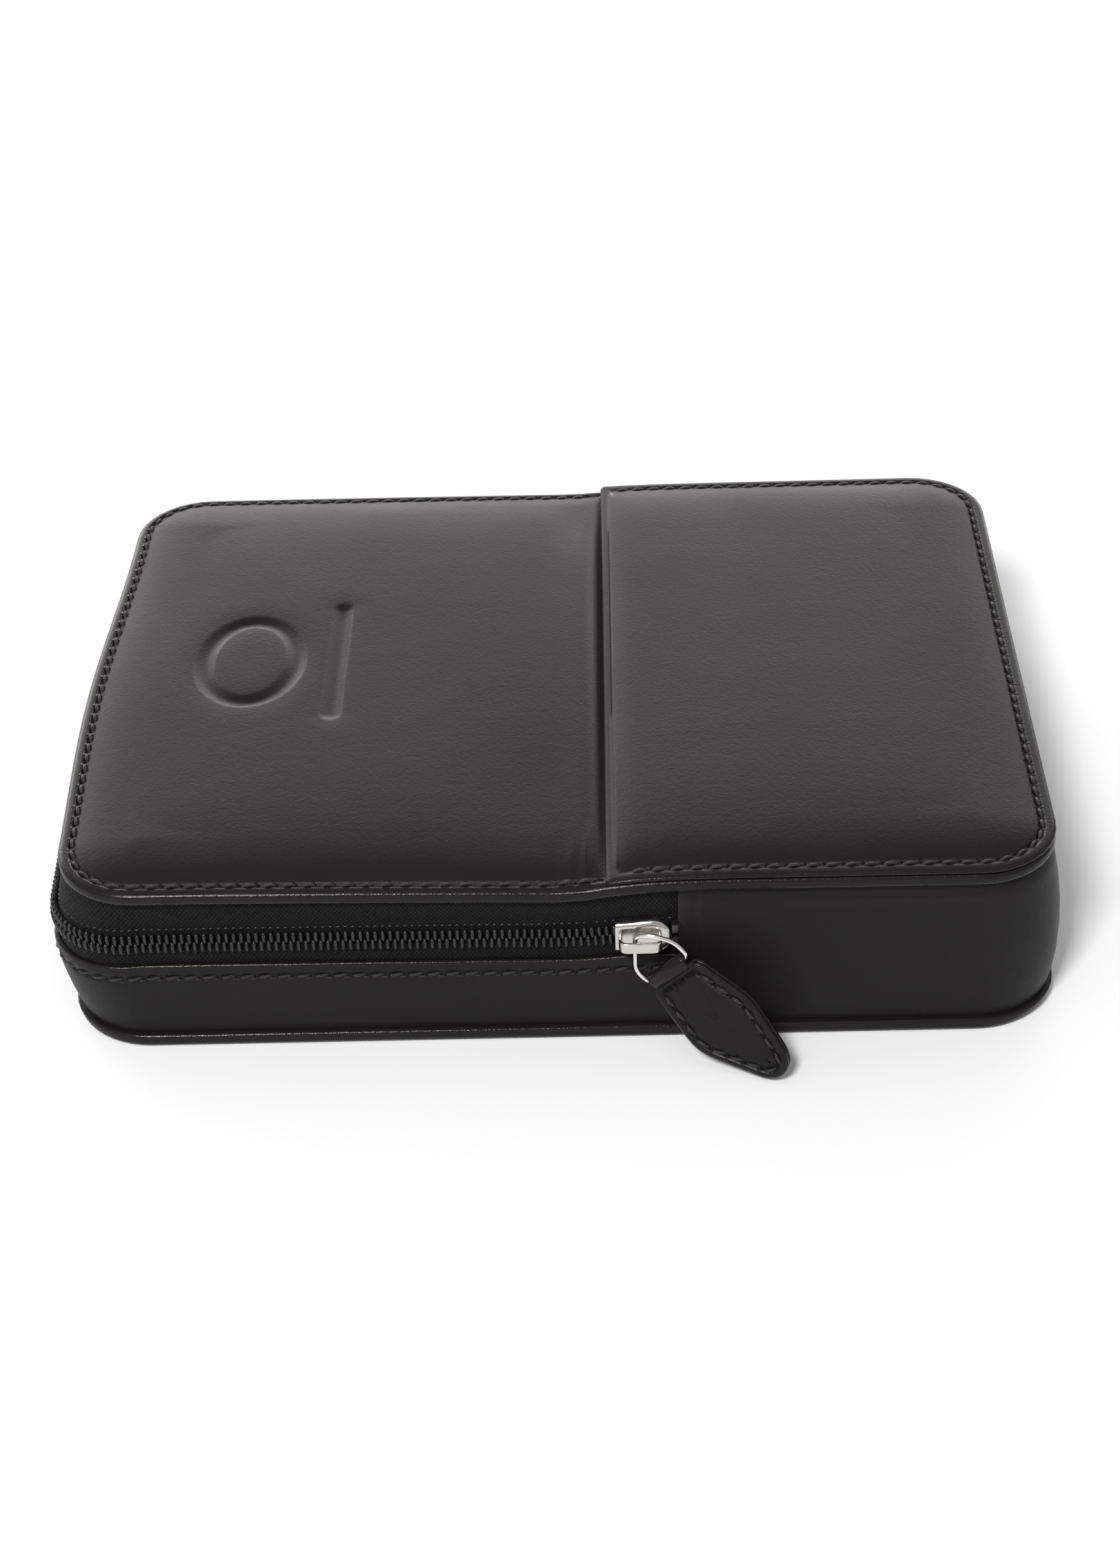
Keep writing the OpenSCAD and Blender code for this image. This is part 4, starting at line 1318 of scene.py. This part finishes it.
# ---- Pen bed, sleeves and elastic loops ----
# Six pens lie side by side on a padded bed. Each goes into a cloth sleeve in the
# closed half, and an elastic loop in the open half holds its other end.

bed_top, bed_inset = 5.2, 4.4
pen_pitch = 20.4
pen_places = [(place - 3.5) * pen_pitch for place in range(1, 7)]


def no_lift(x, y, z):
    return 0 * z


def bed_height(x, y, inset):
    """Channels sewn between the pen places, and a rounded edge."""
    between = (y / pen_pitch) % 1.0
    between = np.minimum(between, 1 - between) * pen_pitch
    channel = 0.55 * np.exp(-(between / 0.9) ** 2)
    edge = np.interp(inset, [4.9, 5.6, 6.6, 8], [0.5, 0.15, 0.0, 0.0])
    return bed_top - channel * soft_step(inset, 5.2, 7.5) - edge


bed_cloth = cloth("bed_cloth", (0.020, 0.020, 0.022, 1), (0.060, 0.060, 0.066, 1), 1.8, 1.0, 0.12)
bed_parts, _, _ = panel((-half_length + bed_inset, half_length - bed_inset),
                        half_width - bed_inset, (9.6, 9.6),
                        np.linspace(-66, 66, 30), np.linspace(-48, 48, 90),
                        [(0.15, 4.05), (0.0, 4.3), (0.05, 4.6)], [0.4, 1.2, 2.4, 4.0, 6.5, 9.6, 14.6],
                        lambda x, y, inset: bed_height(x, y, inset + bed_inset),
                        [(0.6, 4.03), (6.0, 4.03), (14.6, 4.03)], no_lift)
bed = tidy_piece("pen_bed_pad", bed_parts, bed_cloth)
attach(bed, "case")
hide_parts("pen_bed")


def arch_piece(name, y, stations, inner, material):
    """A strip arched over a pen place: stations are (x, thickness), both faces rounded."""
    bend = np.radians(np.linspace(0, 180, 25))
    turns_in = np.c_[inner * np.cos(bend), inner + inner * np.sin(bend)]
    rings = []
    for x, thickness in stations:
        scale = (inner + thickness) / inner
        outer = np.c_[turns_in[:, 0] * scale, inner + (turns_in[:, 1] - inner) * scale]
        feet_out = [(outer[0, 0], 0.04)], [(outer[-1, 0], 0.04)]
        feet_in = [(turns_in[-1, 0], 0.04)], [(turns_in[0, 0], 0.04)]
        section = np.vstack([feet_out[0], outer, feet_out[1], feet_in[0], turns_in[::-1], feet_in[1]])
        rings.append(np.c_[np.full(len(section), x), y + section[:, 0], bed_top + section[:, 1]])
    rings = np.array(rings)
    legs = np.linalg.norm(np.diff(rings[0], axis=0, append=rings[0][:1]), axis=1)
    parts = [lattice(rings, np.array([s[0] for s in stations]), np.r_[0, np.cumsum(legs)])]
    return tidy_piece(name, parts + strip_caps(rings), material)


sleeve_cloth = cloth("sleeve_cloth", (0.022, 0.022, 0.024, 1), (0.070, 0.070, 0.078, 1), 2.4, 0.5, 0.10,
                     0.7)
elastic, elastic_tree, elastic_shader = surface("elastic", {
    "Specular IOR Level": 0.3, "Roughness": 0.7, "Sheen Weight": 0.2, "Sheen Roughness": 0.4})
band_uv = add_node(elastic_tree, "ShaderNodeUVMap", uv_map="rows")
band_at = add_node(elastic_tree, "ShaderNodeSeparateXYZ", {0: band_uv})
cord_wave = add_node(elastic_tree, "ShaderNodeMath", {
    0: reckon(elastic_tree, band_at.outputs[0], full_turn / 1.1, "MULTIPLY")}, operation="SINE")
pick_wave = add_node(elastic_tree, "ShaderNodeMath", {
    0: reckon(elastic_tree, band_at.outputs[1], full_turn / 0.55, "MULTIPLY")}, operation="SINE")
band_height = reckon(elastic_tree, reckon(elastic_tree, cord_wave, 0.35, "MULTIPLY"),
                     reckon(elastic_tree, pick_wave, 0.12, "MULTIPLY"))
band_mask = add_node(elastic_tree, "ShaderNodeMapRange", {0: band_height, 1: -0.45, 2: 0.45})
band_tone = mixed(elastic_tree, band_mask, (0.008, 0.008, 0.009, 1), (0.035, 0.035, 0.038, 1))
band_bump = bumped(elastic_tree, 0.00022, band_height)
feed(elastic_tree, elastic_shader, Base_Color=band_tone, Normal=band_bump)

for place, y in enumerate(pen_places, 1):
    sleeve = arch_piece(f"pen_sleeve_cloth_{place}", y,
                        [(15.0, 0.2), (15.15, 0.55), (15.5, 0.85), (17.6, 0.88), (18.1, 0.84),
                         (18.25, 0.6), (20.0, 0.62), (40.0, 0.66), (60.0, 0.66), (76.6, 0.62),
                         (77.0, 0.4)], 9.2, sleeve_cloth)
    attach(sleeve, "case")
    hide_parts(f"pen_sleeve_{place}")
    band = arch_piece(f"pen_loop_elastic_{place}", y,
                      [(-55.0, 0.25), (-54.85, 0.7), (-54.3, 0.9), (-44, 0.86), (-33.7, 0.9),
                       (-33.15, 0.7), (-33.0, 0.25)], 8.8, elastic)
    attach(band, "case")
    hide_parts(f"pen_loop_{place}")
